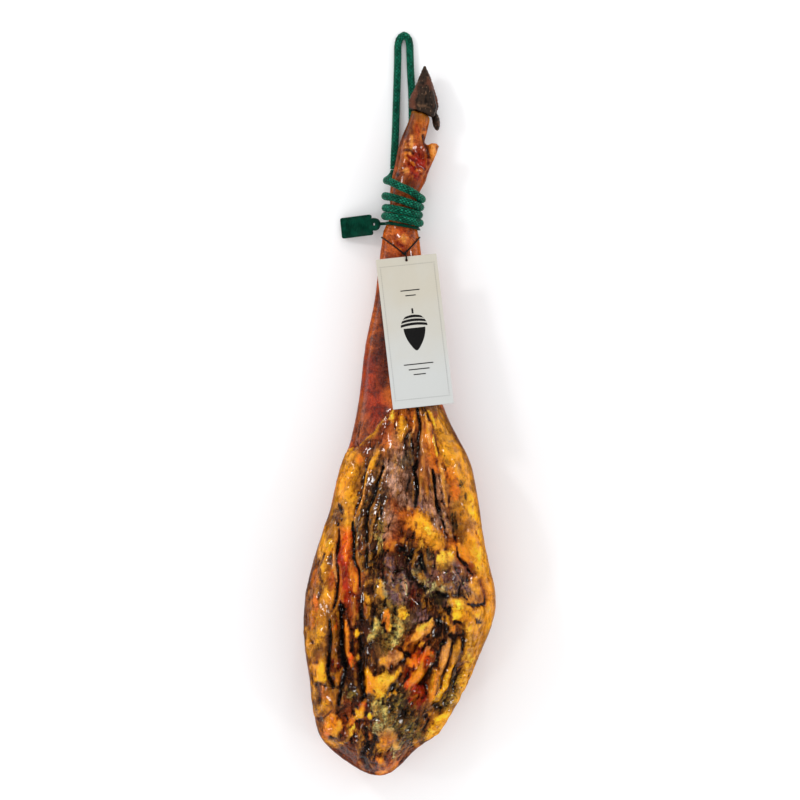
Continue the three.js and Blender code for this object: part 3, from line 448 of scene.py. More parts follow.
FOOT_MARKS = [
    ("skin_brown", 22, 0, (12, 290), (16, 320), (20, 350)),
    ("skin_dark", 6, 0, (-2, 300), (4, 330), (10, 352)),
    ("skin_red", 9, 0, (14, 308), (20, 328), (24, 344)),
    ("skin_amber", 7, 0.3, (10, 350), (14, 334), (12, 318)),
    # Painted highlight along the middle of the foot
    ("skin_pale", 2.4, 0.8, (14, 330), (13, 318), (11, 308)),
    ("skin_amber", 7, 0.3, (30, 358), (28, 340), (24, 322)),
    ("skin_red", 4, 0, (20, 342), (21, 334)),
    ("skin_dark", 2, -0.9, (4, 314), (10, 313), (16, 311)),
    ("ruby", 9, 0.4, (8, 304), (16, 296), (18, 284)),
    ("ruby", 6, 0.4, (24, 303), (29, 296)),
    ("meat_red", 1.8, -0.9, (8, 306), (13, 302), (20, 303)),
    ("meat_red", 1.8, -0.9, (10, 296), (16, 292), (22, 295), (28, 292)),
    ("meat_red", 1.8, -0.9, (14, 286), (19, 283), (24, 286)),
    ("skin_red", 3, 0.8, (12, 299), (16, 297), (19, 290)),
    # Painted highlight near the front of the foot
    ("skin_pale", 2.2, 1.2, (4, 290), (8, 287)),
    ("skin", 3, 1, (24, 290), (26, 286)),
    ("skin_amber", 4.5, 1, (36, 320), (40, 306), (44, 312)),
    # Painted highlight on the side of the foot
    ("skin_pale", 1.6, 0.9, (37, 318), (41, 308)),
    ("skin_dark", 2.4, -2, (27, 330), (30, 318), (33, 306), (32, 298)),
    ("skin_amber", 5, 0.8, (6, 322), (4, 306), (0, 294)),
    ("skin_dark", 3, 0, (-3, 287), (-3, 283)),
    ("skin_dark", 4, -0.4, (8, 366), (20, 359), (37, 352)),
]

# The foot, along Y in metres: where its smoothing begins and ends to fade, and where its mesh is finer
FOOT_FADE = (0.185, 0.24)
FINE_FOOT = 0.2

# The painted layers of the ham, from the lowest
HAM_LAYERS = ("field", "wide_mark", "narrow_mark")
FIELD, WIDE_MARK, NARROW_MARK = range(3)

# Where the skin of the shank ends and the trimmed lean face begins, from left to right, in millimetres
SKIN_EDGE = [
    (-66, -36), (-49, -34), (-36, -22), (-22, -6), (-8, 9), (6, 35), (18, 57), (34, 40), (45, 21), (54, 7),
    (64, -9), (75, -30),
]

# The ankle under the rope: place along Y, left, right, bottom and top, in millimetres
ANKLE = [
    (210, -21.6, 23.2, 15, 55), (220, -20.3, 21.8, 16.6, 53.5), (225.5, -18, 19.2, 18.2, 52.9),
    (230, -14, 16.8, 18.8, 52.4), (237, -12.2, 16.5, 19, 52.3), (248, -12, 18.2, 19, 52.3),
    (260, -12.4, 20.4, 18.8, 52.3), (270, -11.8, 25, 17, 52.4), (283, -9.5, 31.5, 13, 52),
    (298, -5.7, 29.9, 11.5, 50),
]
# Each turn of rope: its place along Y on the left and on the right, in millimetres
ROPE_TURNS = [(279.5, 257.6), (261.4, 248.3), (247.6, 239.2), (238.2, 230.2)]
# The points of a whole turn, and how many of them the last turn stops short
TURN_STEPS = 18
OPEN_STEPS = 4
# The rope between the end of the free loop and its first turn, in millimetres
FIRST_TURN = [(-7.25, 293.5, 4.35), (-7.5, 290, 4.8), (-11, 284.5, 10.5)]
# The start of the free loop inside the turns, across and up
STRAND = (7, 14.25)
# How far the turns stand off the ankle and off that start
ROPE_GAP = 0.56
# The free loop of rope, in millimetres
ROPE_LOOP = [
    (7, 229.5, 13.95), (7, 234, 14.25), (7, 245, 14.25), (7, 256, 14.25), (7.4, 264, 13.6), (8.4, 272, 11),
    (9.6, 280, 7.6), (11, 291, 4.8), (12.8, 310, 4.35), (14.2, 335, 4.35), (14.2, 362, 4.35),
    (13.6, 386, 4.35), (12.4, 407, 4.35), (11.6, 429, 4.35), (11.2, 439.5, 4.35), (9.4, 446.6, 4.35),
    (5, 450.4, 4.35), (0.2, 447.2, 4.35), (-2.2, 440, 4.35), (-2.6, 425, 4.35), (-3.4, 397, 4.35),
    (-4.4, 365, 4.35), (-5.4, 335, 4.35), (-6.6, 310, 4.35), (-7.2, 294.4, 4.35),
]

# The card's place: its hole, then how it is turned, pitched and rolled
CARD_HOLE = (7.4, 186, 60.6)
CARD_TURN = (6.6, -8.2, 3.5)
CARD_HOLE_FROM_EDGE = 4.2
CARD_THICKNESS = 0.9
# The dotted frame on the card: how much narrower and shorter than the card it is, and its dots
FRAME_INSET = (8, 19.2)
FRAME_SPACING = 2.6
FRAME_DOT_RADIUS = 0.4
# The seal's head, then how far its plate droops and turns, in degrees
SEAL_PLACE = (-29.2, 229.4, 20.5)
SEAL_DROOP = -23
SEAL_TURN = 6
# The ribs on the plate: how many, their spacing, length and radius, and the middle of their row
RIB_COUNT = 12
RIB_SPACING = 2.1
RIB_LENGTH = 15
RIB_RADIUS = 0.55
RIBS_PLACE = (-23.5, 0, 2.15)
# The middle of the shank under the string, across and up
SHANK_MIDDLE = (1.6, 34)
# The string: its knot and the height of the knot, and where it crosses the sides and the back of the shank
KNOT = (4.6, 193.6)
KNOT_HEIGHT = 56
STRING_SIDE_Y = 213.5
STRING_BACK_Y = 215
# The loops of the knot: place from its middle, then turn in degrees
KNOT_LOBES = [(-1.1, 0.2, 0.2, 20), (1.2, 0.3, 0.1, -25), (0, -0.6, 0.5, 80)]
# Their radius, and how far they are drawn out
KNOT_LOBE_RADIUS = 1.25
KNOT_LOBE_SHAPE = (1.35, 0.8, 0.8)
# How far the knot stands off the start of the string
KNOT_LIFT = 0.8
# The string's way on from the knot through the card's hole, measured from the hole, and its points' spacing
LEAD = [(0, 4.8, 2.3), (0, 0.9, 2.2), (0, 0, 0.8), (0, 0, -1.4)]
LEAD_SPACING = 0.8

# The studio, in metres. The lamps have a name, a place, a width and a power in watts.
CAMERA_PLACE = (0, 0.0254, 4.06)
VIEWED_LEVEL = 0.06
VIEWED_WIDTH = 0.92
FLOOR_WIDTH = 9.0
WORLD_STRENGTH = 0.98
LAMPS = [
    ("key_lamp", (-1.5, 1.2, 1.6), 0.32, 8),
    ("left_lamp", (-1.8, -0.2, 1.4), 0.26, 3),
    ("lower_left_lamp", (-1.2, -1.5, 1.4), 0.26, 3),
    ("upper_lamp", (0.3, 2.0, 1.3), 0.26, 4),
    ("right_lamp", (1.7, 0.9, 1.2), 0.26, 4),
    ("lower_right_lamp", (1.4, -1.2, 1.2), 0.26, 3),
]


def srgb(red, green, blue):
    """The linear colour of an sRGB one, each part from 0 to 255."""
    parts = np.array([red, green, blue], dtype=float) / 255
    return np.where(parts <= 0.04045, parts / 12.92, ((parts + 0.055) / 1.055) ** 2.4)


def opaque(red, green, blue):
    """The linear colour of an sRGB one, with full alpha."""
    return (*srgb(red, green, blue), 1)


def finish_colour(name):
    """The linear colour that the user has set for a finish."""
    red, green, blue = getattr(bpy.context.scene.ham_colours, name)
    return srgb(255 * red, 255 * green, 255 * blue)


def sizes():
    """The sizes that the user can change."""
    return bpy.context.scene.ham_sizes


def smooth_step(start, end, value):
    """Eases from 0 at the start to 1 at the end."""
    t = np.clip((value - start) / (end - start), 0, 1)
    return t * t * (3 - 2 * t)


# Noise

LATTICE = 32


def lattice_noise(points, seed):
    """Smooth noise from -1 to 1 whose features are one unit across."""
    grid = np.random.default_rng(seed).uniform(-1, 1, (LATTICE, LATTICE, LATTICE))
    cell = np.floor(points).astype(int)
    t = points - cell
    t = t * t * (3 - 2 * t)
    total = np.zeros(len(points))
    for corner in itertools.product((0, 1), repeat=3):
        weight = np.prod(np.where(corner, t, 1 - t), axis=1)
        i, j, k = ((cell + corner) % LATTICE).T
        total += weight * grid[i, j, k]
    return total


def rough_noise(points, seed, octaves=3):
    """Lattice noise with finer and weaker noise added to it."""
    layers = [lattice_noise(points * 2**k, seed + k) / 2**k for k in range(octaves)]
    return sum(layers) / (2 - 0.5 ** (octaves - 1))


# Mesh work

def coordinates(mesh):
    flat = np.empty(3 * len(mesh.vertices))
    mesh.vertices.foreach_get("co", flat)
    return flat.reshape(-1, 3)


def set_coordinates(mesh, points):
    mesh.vertices.foreach_set("co", np.ascontiguousarray(points, dtype=np.float32).ravel())
    mesh.update()


def vertex_normals(mesh):
    flat = np.empty(3 * len(mesh.vertices))
    mesh.vertex_normals.foreach_get("vector", flat)
    return flat.reshape(-1, 3)


def edge_ends(mesh):
    flat = np.empty(2 * len(mesh.edges), dtype=int)
    mesh.edges.foreach_get("vertices", flat)
    return flat.reshape(-1, 2)


def neighbour_mean(values, ends):
    """For each vertex, the mean of its neighbours' values."""
    count = np.bincount(ends.ravel(), minlength=len(values))
    columns = []
    for column in values.reshape(len(values), -1).T:
        total = np.bincount(ends[:, 0], column[ends[:, 1]], len(values))
        total += np.bincount(ends[:, 1], column[ends[:, 0]], len(values))
        columns.append(total / np.maximum(count, 1))
    return np.stack(columns, axis=1).reshape(values.shape)


def relax(points, ends, rounds, strength):
    """Moves each point towards its neighbours, by a strength that may differ from point to point."""
    strength = np.broadcast_to(strength, len(points))[:, None]
    for _ in range(rounds):
        points = points + strength * (neighbour_mean(points, ends) - points)
    return points


def new_piece(name, mesh, *materials):
    """A piece of the part, which rides on its only body."""
    mesh.name = name
    mesh.materials.clear()
    for material in materials:
        mesh.materials.append(material)
    piece = bpy.data.objects.new(name, mesh)
    bpy.context.scene.collection.objects.link(piece)
    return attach(piece, BODY)


def evaluated_mesh(mesh, *modifiers):
    """The mesh with modifiers applied. Each is its type, then its settings."""
    helper = bpy.data.objects.new("helper", mesh)
    bpy.context.scene.collection.objects.link(helper)
    for kind, settings in modifiers:
        modifier = helper.modifiers.new(kind, kind)
        for key, value in settings.items():
            setattr(modifier, key, value)
    shown = helper.evaluated_get(bpy.context.evaluated_depsgraph_get())
    result = bpy.data.meshes.new_from_object(shown)
    bpy.data.objects.remove(helper)
    return result


def joined_copy(node):
    """A copy of a CAD node's mesh with its loose triangles joined."""
    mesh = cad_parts[node].data.copy()
    work = bmesh.new()
    work.from_mesh(mesh)
    bmesh.ops.remove_doubles(work, verts=work.verts, dist=0.001 * MM)
    work.to_mesh(mesh)
    work.free()
    return mesh


def even_copy(node, voxel):
    """A copy of a CAD node's mesh in even quads."""
    return evaluated_mesh(joined_copy(node), ("REMESH", {"mode": "VOXEL", "voxel_size": voxel}))


def shade_smooth(mesh, angle=None):
    """Smooth shading, in which edges sharper than an angle in degrees stay sharp."""
    mesh.shade_smooth()
    if angle is not None:
        mesh.set_sharp_from_angle(angle=math.radians(angle))


def face_outward(mesh):
    """Turns the faces of a closed mesh outward."""
    work = bmesh.new()
    work.from_mesh(mesh)
    bmesh.ops.recalc_face_normals(work, faces=work.faces)
    work.to_mesh(mesh)
    work.free()


def set_values(mesh, name, values):
    """Keeps a number, a vector or a colour for each vertex."""
    kinds = {1: ("FLOAT", "value"), 3: ("FLOAT_VECTOR", "vector"), 4: ("FLOAT_COLOR", "color")}
    kind, key = kinds[1 if values.ndim == 1 else values.shape[1]]
    layer = mesh.attributes.new(name, kind, "POINT")
    layer.data.foreach_set(key, np.ascontiguousarray(values, dtype=np.float32).ravel())


def catmull_rom(points, spacing):
    """Even points along a smooth curve, spaced as a centripetal Catmull-Rom curve is."""
    points = np.asarray(points, dtype=float)
    first = 2 * points[0] - points[1]
    last = 2 * points[-1] - points[-2]
    guide = np.vstack([first, points, last])
    dense = []
    for p0, p1, p2, p3 in zip(guide, guide[1:], guide[2:], guide[3:]):
        steps = [max(float(np.linalg.norm(b - a)) ** 0.5, 1e-6) for a, b in ((p0, p1), (p1, p2), (p2, p3))]
        m1 = (p1 - p0) / steps[0] - (p2 - p0) / (steps[0] + steps[1]) + (p2 - p1) / steps[1]
        m2 = (p2 - p1) / steps[1] - (p3 - p1) / (steps[1] + steps[2]) + (p3 - p2) / steps[2]
        m1, m2 = m1 * steps[1], m2 * steps[1]
        t = np.linspace(0, 1, 24, endpoint=False)[:, None]
        dense.append((2 * t**3 - 3 * t**2 + 1) * p1 + (t**3 - 2 * t**2 + t) * m1
                     + (3 * t**2 - 2 * t**3) * p2 + (t**3 - t**2) * m2)
    dense = np.vstack([*dense, points[-1:]])
    reached = np.concatenate([[0], np.cumsum(np.linalg.norm(np.diff(dense, axis=0), axis=1))])
    count = max(int(round(reached[-1] / spacing)), 1) + 1
    wanted = np.linspace(0, reached[-1], count)
    return np.stack([np.interp(wanted, reached, column) for column in dense.T], axis=1)


# The ham's surface

def leg_flow(points):
    """Coordinates in which the leg is equally wide all along, so that the grain follows its taper."""
    levels = np.arange(-400, 356, 12) * MM
    left, right = [], []
    for level in levels:
        near = points[np.abs(points[:, 1] - level) < 7 * MM, 0]
        left.append(near.min())
        right.append(near.max())
    kernel = np.ones(5) / 5
    left, right = (np.convolve(np.pad(side, 2, mode="edge"), kernel, "valid") for side in (left, right))
    middle = np.interp(points[:, 1], levels, (left + right) / 2)
    half = np.interp(points[:, 1], levels, (right - left) / 2)
    flow = points.copy()
    flow[:, 0] = (points[:, 0] - middle) / half * 75 * MM
    return flow


def above_skin_edge(x, y):
    """How far above the V cut a point is, in millimetres, so above 0 on the skin."""
    edge_x, edge_y = np.array(SKIN_EDGE, dtype=float).T
    slope = np.interp(x, (edge_x[1:] + edge_x[:-1]) / 2, np.diff(edge_y) / np.diff(edge_x))
    return (y - np.interp(x, edge_x, edge_y)) / np.hypot(1, slope)


def line_coordinates(x, y, line):
    """The distance from a line, and the way along it from 0 to its length."""
    best = np.full(len(x), np.inf)
    along = np.zeros(len(x))
    passed = 0.0
    for (ax, ay), (bx, by) in zip(line, line[1:]):
        dx, dy = bx - ax, by - ay
        length = math.hypot(dx, dy)
        t = np.clip(((x - ax) * dx + (y - ay) * dy) / length**2, 0, 1)
        away_x, away_y = x - ax - t * dx, y - ay - t * dy
        distance = np.hypot(away_x, away_y)
        nearer = distance < best
        best = np.where(nearer, distance, best)
        along = np.where(nearer, passed + t * length, along)
        passed += length
    return best, along, passed


class HamPaint:
    """Colour, traits and height over the ham's vertices. Wide and narrow marks lie in layers of their own."""

    TRAITS = ("wet", "crust", "fibre", "mould")
    # A mark with a half width below this lies in the narrow layer
    NARROW = 4.1

    def __init__(self, points, base, seed):
        place = points / MM
        self.count = len(points)
        self.colours = [np.tile(finish_colour(base), (self.count, 1)) for _ in range(3)]
        self.covers = [np.ones(self.count), np.zeros(self.count), np.zeros(self.count)]
        self.traits = np.tile(FINISHES[base][1:5], (self.count, 1)).astype(float)
        self.height = np.zeros(self.count)
        self.random = np.random.default_rng(seed)
        self.x = place[:, 0] + 1.8 * lattice_noise(place / (10, 24, 10), seed)
        self.y = place[:, 1] + 2.4 * lattice_noise(place / 10, seed + 2)
        self.grit = rough_noise(place / (4.5, 9, 4.5), seed + 5, 3)

    def blend(self, name, amount):
        """Tints all the layers."""
        for colour in self.colours:
            colour += amount[:, None] * (finish_colour(name) - colour)
        self.traits += amount[:, None] * (np.array(FINISHES[name][1:5]) - self.traits)

    def lay(self, layer, name, amount):
        """Lays a finish into one layer, over what that layer holds there."""
        wanted = np.clip(finish_colour(name) * self.random.uniform(0.85, 1.15), 0, 1)
        total = amount + self.covers[layer] * (1 - amount)
        share = np.divide(amount, total, out=np.zeros(self.count), where=total > 1e-6)
        self.colours[layer] += share[:, None] * (wanted - self.colours[layer])
        self.covers[layer] = total
        self.traits += amount[:, None] * (np.array(FINISHES[name][1:5]) - self.traits)

    def mark(self, name, half_width, height, *points, only, layer=None):
        """Paints a finish along a line of points, and raises or lowers the ham there."""
        line = catmull_rom(points, max(half_width, 2.5))
        low, high = line.min(axis=0) - 2.6 * half_width - 4, line.max(axis=0) + 2.6 * half_width + 4
        near = (self.x > low[0]) & (self.x < high[0]) & (self.y > low[1]) & (self.y < high[1]) & (only > 0.01)
        if not near.any():
            return
        drawn_out = (1, 0.75)
        x, y = self.x[near], self.y[near] * drawn_out[1]
        distance, along, length = line_coordinates(x, y, line * drawn_out)
        taper = 1.1 - 0.45 * smooth_step(0.45, 1, np.abs(2 * along / length - 1))
        shift = self.random.uniform(0, 20, 3)
        beads = np.stack([along / 9, np.zeros(len(along)), np.zeros(len(along))], axis=1) + shift
        swell = 1 + (0.45 if half_width < 5 else 0.3) * lattice_noise(beads, 6)
        reach = distance / (half_width * taper * swell)
        full = 1 - 0.4 * FINISHES[name][4]
        amount = np.zeros(self.count)
        whole = 1 - 0.7 * (height < 0) * smooth_step(0, 0.7, lattice_noise(beads + 7, 9))
        amount[near] = full * whole * smooth_step(2.2, -0.6, reach + 0.18 * self.grit[near]) * only[near]
        if layer is None:
            layer = NARROW_MARK if half_width < self.NARROW else WIDE_MARK
        self.lay(layer, name, amount)
        self.height[near] += height * whole * np.exp(-reach**2) * (1 + 0.4 * self.grit[near]) * only[near]

    def strand_shade_and_highlight(self, strand, dark, pale, amount):
        """Darkens the low strands as painted shade, and lights the high ones as a painted highlight."""
        self.blend(dark, amount * smooth_step(-0.12, -0.5, strand))
        self.blend(pale, amount * 0.7 * smooth_step(0.22, 0.6, strand))


def paint_ham(points, normals, strands):
    """Colour, traits and height of the whole ham."""
    place = points / MM
    clouds = rough_noise(place / (19, 34, 19), 37, 3)
    fine_clouds = rough_noise(place / (9, 15, 9), 38, 4)
    x, y = place[:, 0], place[:, 1]
    facing_up = smooth_step(-0.5, -0.05, normals[:, 2] + 0.12 * lattice_noise(place / 14, 31))
    wander = 3.2 * lattice_noise(place / 12, 32) + 1.6 * lattice_noise(place / 4, 33)
    lean = smooth_step(1.2, -1.2, above_skin_edge(x, y) + wander) * facing_up
    paint = HamPaint(points, "skin", 40)
    paint.blend("skin_brown", 0.5 * smooth_step(-0.1, 0.7, lattice_noise(place / 38, 34)))
    paint.blend("skin_red", 0.3 * smooth_step(0.1, 0.8, lattice_noise(place / 27, 35)))
    paint.blend("skin_amber", 0.45 * smooth_step(0, 0.8, rough_noise(place / (8, 34, 12), 39)))
    paint.blend("skin_dark", 0.5 * smooth_step(0.15, 0.8, rough_noise(place / (9, 30, 9), 36)))
    for mark in sorted(FIELDS, key=lambda mark: -mark[1]):
        paint.mark(*mark, only=lean, layer=FIELD)
    fat = 1 - smooth_step(0.1, 0.5, paint.traits[:, 2])
    # Painted shade on the low strands of the lean meat, and painted highlight on the high ones
    paint.strand_shade_and_highlight(strands, "black", "rust", 0.6 * lean * (1 - fat))
    paint.blend("rust", 0.5 * lean * (1 - fat) * smooth_step(0.1, 0.7, clouds))
    paint.blend("dark_meat", 0.8 * lean * (1 - fat) * smooth_step(0.1, 0.6, fine_clouds))
    face = UPPER_MARKS + LEFT_MARKS + RIGHT_MARKS + LOWER_LEFT_MARKS + LOWER_RIGHT_MARKS + RUMP_MARKS
    for mark in sorted(face, key=lambda mark: -mark[1]):
        paint.mark(*mark, only=facing_up * smooth_step(4, 0, above_skin_edge(x, y) - 3))
    fat = 1 - smooth_step(0.1, 0.5, paint.traits[:, 2])
    paint.blend("fat_orange", 0.45 * lean * fat * smooth_step(0, 0.6, clouds))
    paint.blend("fat_brown", 0.45 * lean * fat * smooth_step(-0.1, -0.7, clouds))
    # Again painted shade on the low strands and painted highlight on the high ones
    paint.strand_shade_and_highlight(strands, "black", "rust", 0.3 * lean * (1 - fat))
    for mark in BONES:
        paint.mark(*mark, only=facing_up, layer=NARROW_MARK)
    for mark in sorted(SHANK_MARKS + FOOT_MARKS, key=lambda mark: -mark[1]):
        paint.mark(*mark, only=facing_up, layer=FIELD)
    return paint, lean


def ham_relief(points, normals, strands, paint, lean):
    """How far each vertex moves out along its normal, in metres."""
    place = leg_flow(points) / MM
    fibres = rough_noise(place / (2.8, 22, 4), 51, 2)
    grain = rough_noise(place / 3.1, 55, 2)
    lumps = rough_noise(place / (10, 17, 10), 57, 3)
    creases = np.exp(-(rough_noise(place / (8, 40, 9), 58, 2) / 0.09) ** 2)
    fibre = paint.traits[:, 2] * lean
    crust = paint.traits[:, 1] * lean
    mould = paint.traits[:, 3] * lean
    detail = fibre * (0.6 * fibres + 1.1 * strands - 1.2 * creases)
    detail += (0.1 + 0.8 * crust + 0.7 * mould) * grain * lean + (0.7 + 0.5 * fibre) * lumps * lean
    bare = smooth_step(0.03, -0.03, points[:, 1]) + smooth_step(0.225, 0.3, points[:, 1])
    skin_waves = 0.14 * rough_noise(place / (3.4, 14, 6), 61, 2) + 0.16 * lattice_noise(place / 9, 63)
    detail += (1 - lean) * skin_waves * (0.6 + 0.8 * bare)
    level = smooth_step(-0.1, 0.55, normals[:, 2])
    return (detail + paint.height) * (0.3 + 0.7 * level) * MM


def hollows(points, normals, ends):
    """How deep each vertex lies among its neighbours, in millimetres, above 0 in a hollow."""
    near = relax(points, ends, 3, 0.9)
    wide = relax(near, ends, 12, 0.9)
    fine = np.einsum("ij,ij->i", near - points, normals)
    broad = np.einsum("ij,ij->i", wide - points, normals)
    return fine / MM, broad / MM


def ham_mesh():
    """The ham in even quads, finer where it shows, with its relief and its painted values."""
    mesh = even_copy("ham", sizes().ham_detail)
    points, ends = coordinates(mesh), edge_ends(mesh)
    y = points[:, 1]
    points = relax(points, ends, 14, 0.6 - 0.46 * smooth_step(*FOOT_FADE, y))
    set_coordinates(mesh, points)
    work = bmesh.new()
    work.from_mesh(mesh)
    fine_faces = [f for f in work.faces if f.normal.z > -0.15 or f.calc_center_median().y > FINE_FOOT]
    edges = {edge for face in fine_faces for edge in face.edges}
    bmesh.ops.subdivide_edges(work, edges=list(edges), cuts=1, use_grid_fill=True)
    work.to_mesh(mesh)
    work.free()
    ends = edge_ends(mesh)
    points = relax(coordinates(mesh), ends, 3, 0.4)
    set_coordinates(mesh, points)
    normals = vertex_normals(mesh)
    strands = rough_noise(leg_flow(points) / MM / (5.5, 36, 9), 53, 3)
    paint, lean = paint_ham(points, normals, strands)
    points = points + normals * ham_relief(points, normals, strands, paint, lean)[:, None]
    points = relax(points, ends, 1, 0.25 * lean)
    points = np.clip(points, np.array(CAD_BOX[0]) + 0.05 * MM, np.array(CAD_BOX[1]) - 0.05 * MM)
    set_coordinates(mesh, points)
    normals = vertex_normals(mesh)
    fine, broad = hollows(points, normals, ends)
    shade_smooth(mesh)
    for name, colour, cover in zip(HAM_LAYERS, paint.colours, paint.covers):
        set_values(mesh, name, np.column_stack([colour, np.ones(len(points))]))
        set_values(mesh, name + "_cover", cover)
    for k, trait in enumerate(HamPaint.TRAITS):
        set_values(mesh, trait, paint.traits[:, k])
    set_values(mesh, "lean", lean)
    # How deep each vertex lies, which the finish paints as shade in the hollows and as a highlight on the
    # ridges
    set_values(mesh, "hollow", np.clip(fine * 1.25 + broad * 0.36, -1, 1))
    # How far each vertex faces sideways, which the finish paints as shade and makes less glossy
    set_values(mesh, "flank", smooth_step(0.8, 0.25, normals[:, 2]))
    set_values(mesh, "flow", leg_flow(points))
    return mesh


# Materials

class Finish:
    """A material, with short calls for the nodes of its pattern."""

    def __init__(self, name):
        self.material = bpy.data.materials.new(name)
        self.material.use_nodes = True
        tree = self.material.node_tree
        self.nodes, self.links = tree.nodes, tree.links
        self.surface = self.nodes["Principled BSDF"]

    def connect(self, socket, value):
        """Links a node's output to a socket, or gives the socket a value of its own."""
        if isinstance(value, bpy.types.NodeSocket):
            self.links.new(value, socket)
        elif hasattr(socket.default_value, "__len__") and not hasattr(value, "__len__"):
            socket.default_value = (value,) * len(socket.default_value)
        elif hasattr(value, "__len__") and len(value) + 1 == len(socket.default_value):
            socket.default_value = (*value, 1)
        else:
            socket.default_value = value

    def set(self, **values):
        """Sets or links the shader's own sockets. An underline stands for a space."""
        for key, value in values.items():
            self.connect(self.surface.inputs[key.replace("_", " ")], value)

    def node(self, kind, inputs, **settings):
        node = self.nodes.new(kind)
        for key, value in settings.items():
            setattr(node, key, value)
        for key, value in inputs.items():
            self.connect(node.inputs[key], value)
        return node

    def attribute(self, name, output="Fac"):
        return self.node("ShaderNodeAttribute", {}, attribute_name=name).outputs[output]

    def place(self):
        return self.node("ShaderNodeTexCoord", {}).outputs["Object"]

    def scaled(self, vector, *scale):
        return self.node("ShaderNodeMapping", {"Vector": vector, "Scale": scale}).outputs["Vector"]

    def noise(self, vector, scale, detail=3.0, roughness=0.55, distortion=0.0):
        inputs = {"Vector": vector, "Scale": scale, "Detail": detail, "Roughness": roughness,
                  "Distortion": distortion}
        return self.node("ShaderNodeTexNoise", inputs).outputs[0]

    def cells(self, vector, scale):
        return self.node("ShaderNodeTexVoronoi", {"Vector": vector, "Scale": scale}).outputs[0]

    def math(self, operation, *values):
        return self.node("ShaderNodeMath", dict(enumerate(values)), operation=operation).outputs[0]

    def plus(self, total, *others):
        for other in others:
            total = self.math("ADD", total, other)
        return total

    def times(self, product, *others):
        for other in others:
            product = self.math("MULTIPLY", product, other)
        return product

    def minus(self, value, less):
        return self.math("SUBTRACT", value, less)

    def span(self, value, low, high, to_low=0.0, to_high=1.0, smooth=True):
        """Eases from one value to another as the input goes from low to high."""
        kind = "SMOOTHSTEP" if smooth else "LINEAR"
        inputs = {"Value": value, "From Min": low, "From Max": high, "To Min": to_low, "To Max": to_high}
        return self.node("ShaderNodeMapRange", inputs, interpolation_type=kind).outputs["Result"]

    def crease(self, pattern, middle, outer, inner):
        """1 on the lines where a pattern passes its middle value, 0 from the outer distance on."""
        return self.span(self.math("ABSOLUTE", self.minus(pattern, middle)), outer, inner)

    def mix(self, amount, first, second, blend="MIX"):
        node = self.node("ShaderNodeMix", {0: amount}, data_type="RGBA", blend_type=blend)
        self.connect(node.inputs[6], first)
        self.connect(node.inputs[7], second)
        return node.outputs[2]

    def tint(self, colour, amount, red, green, blue):
        """The colour with some of an sRGB one laid over it."""
        return self.mix(amount, colour, opaque(red, green, blue))

    def scale_colour(self, colour, factor, warmth=1.0):
        """The colour times a number. With warmth, what darkens also browns."""
        green = self.math("POWER", factor, warmth)
        blue = self.math("POWER", factor, 2 * warmth - 1)
        tone = self.node("ShaderNodeCombineColor", {0: factor, 1: green, 2: blue}).outputs[0]
        return self.mix(1.0, colour, tone, "MULTIPLY")

    def bump(self, height, distance, strength=1.0):
        inputs = {"Height": height, "Distance": distance, "Strength": strength}
        self.set(Normal=self.node("ShaderNodeBump", inputs).outputs["Normal"])


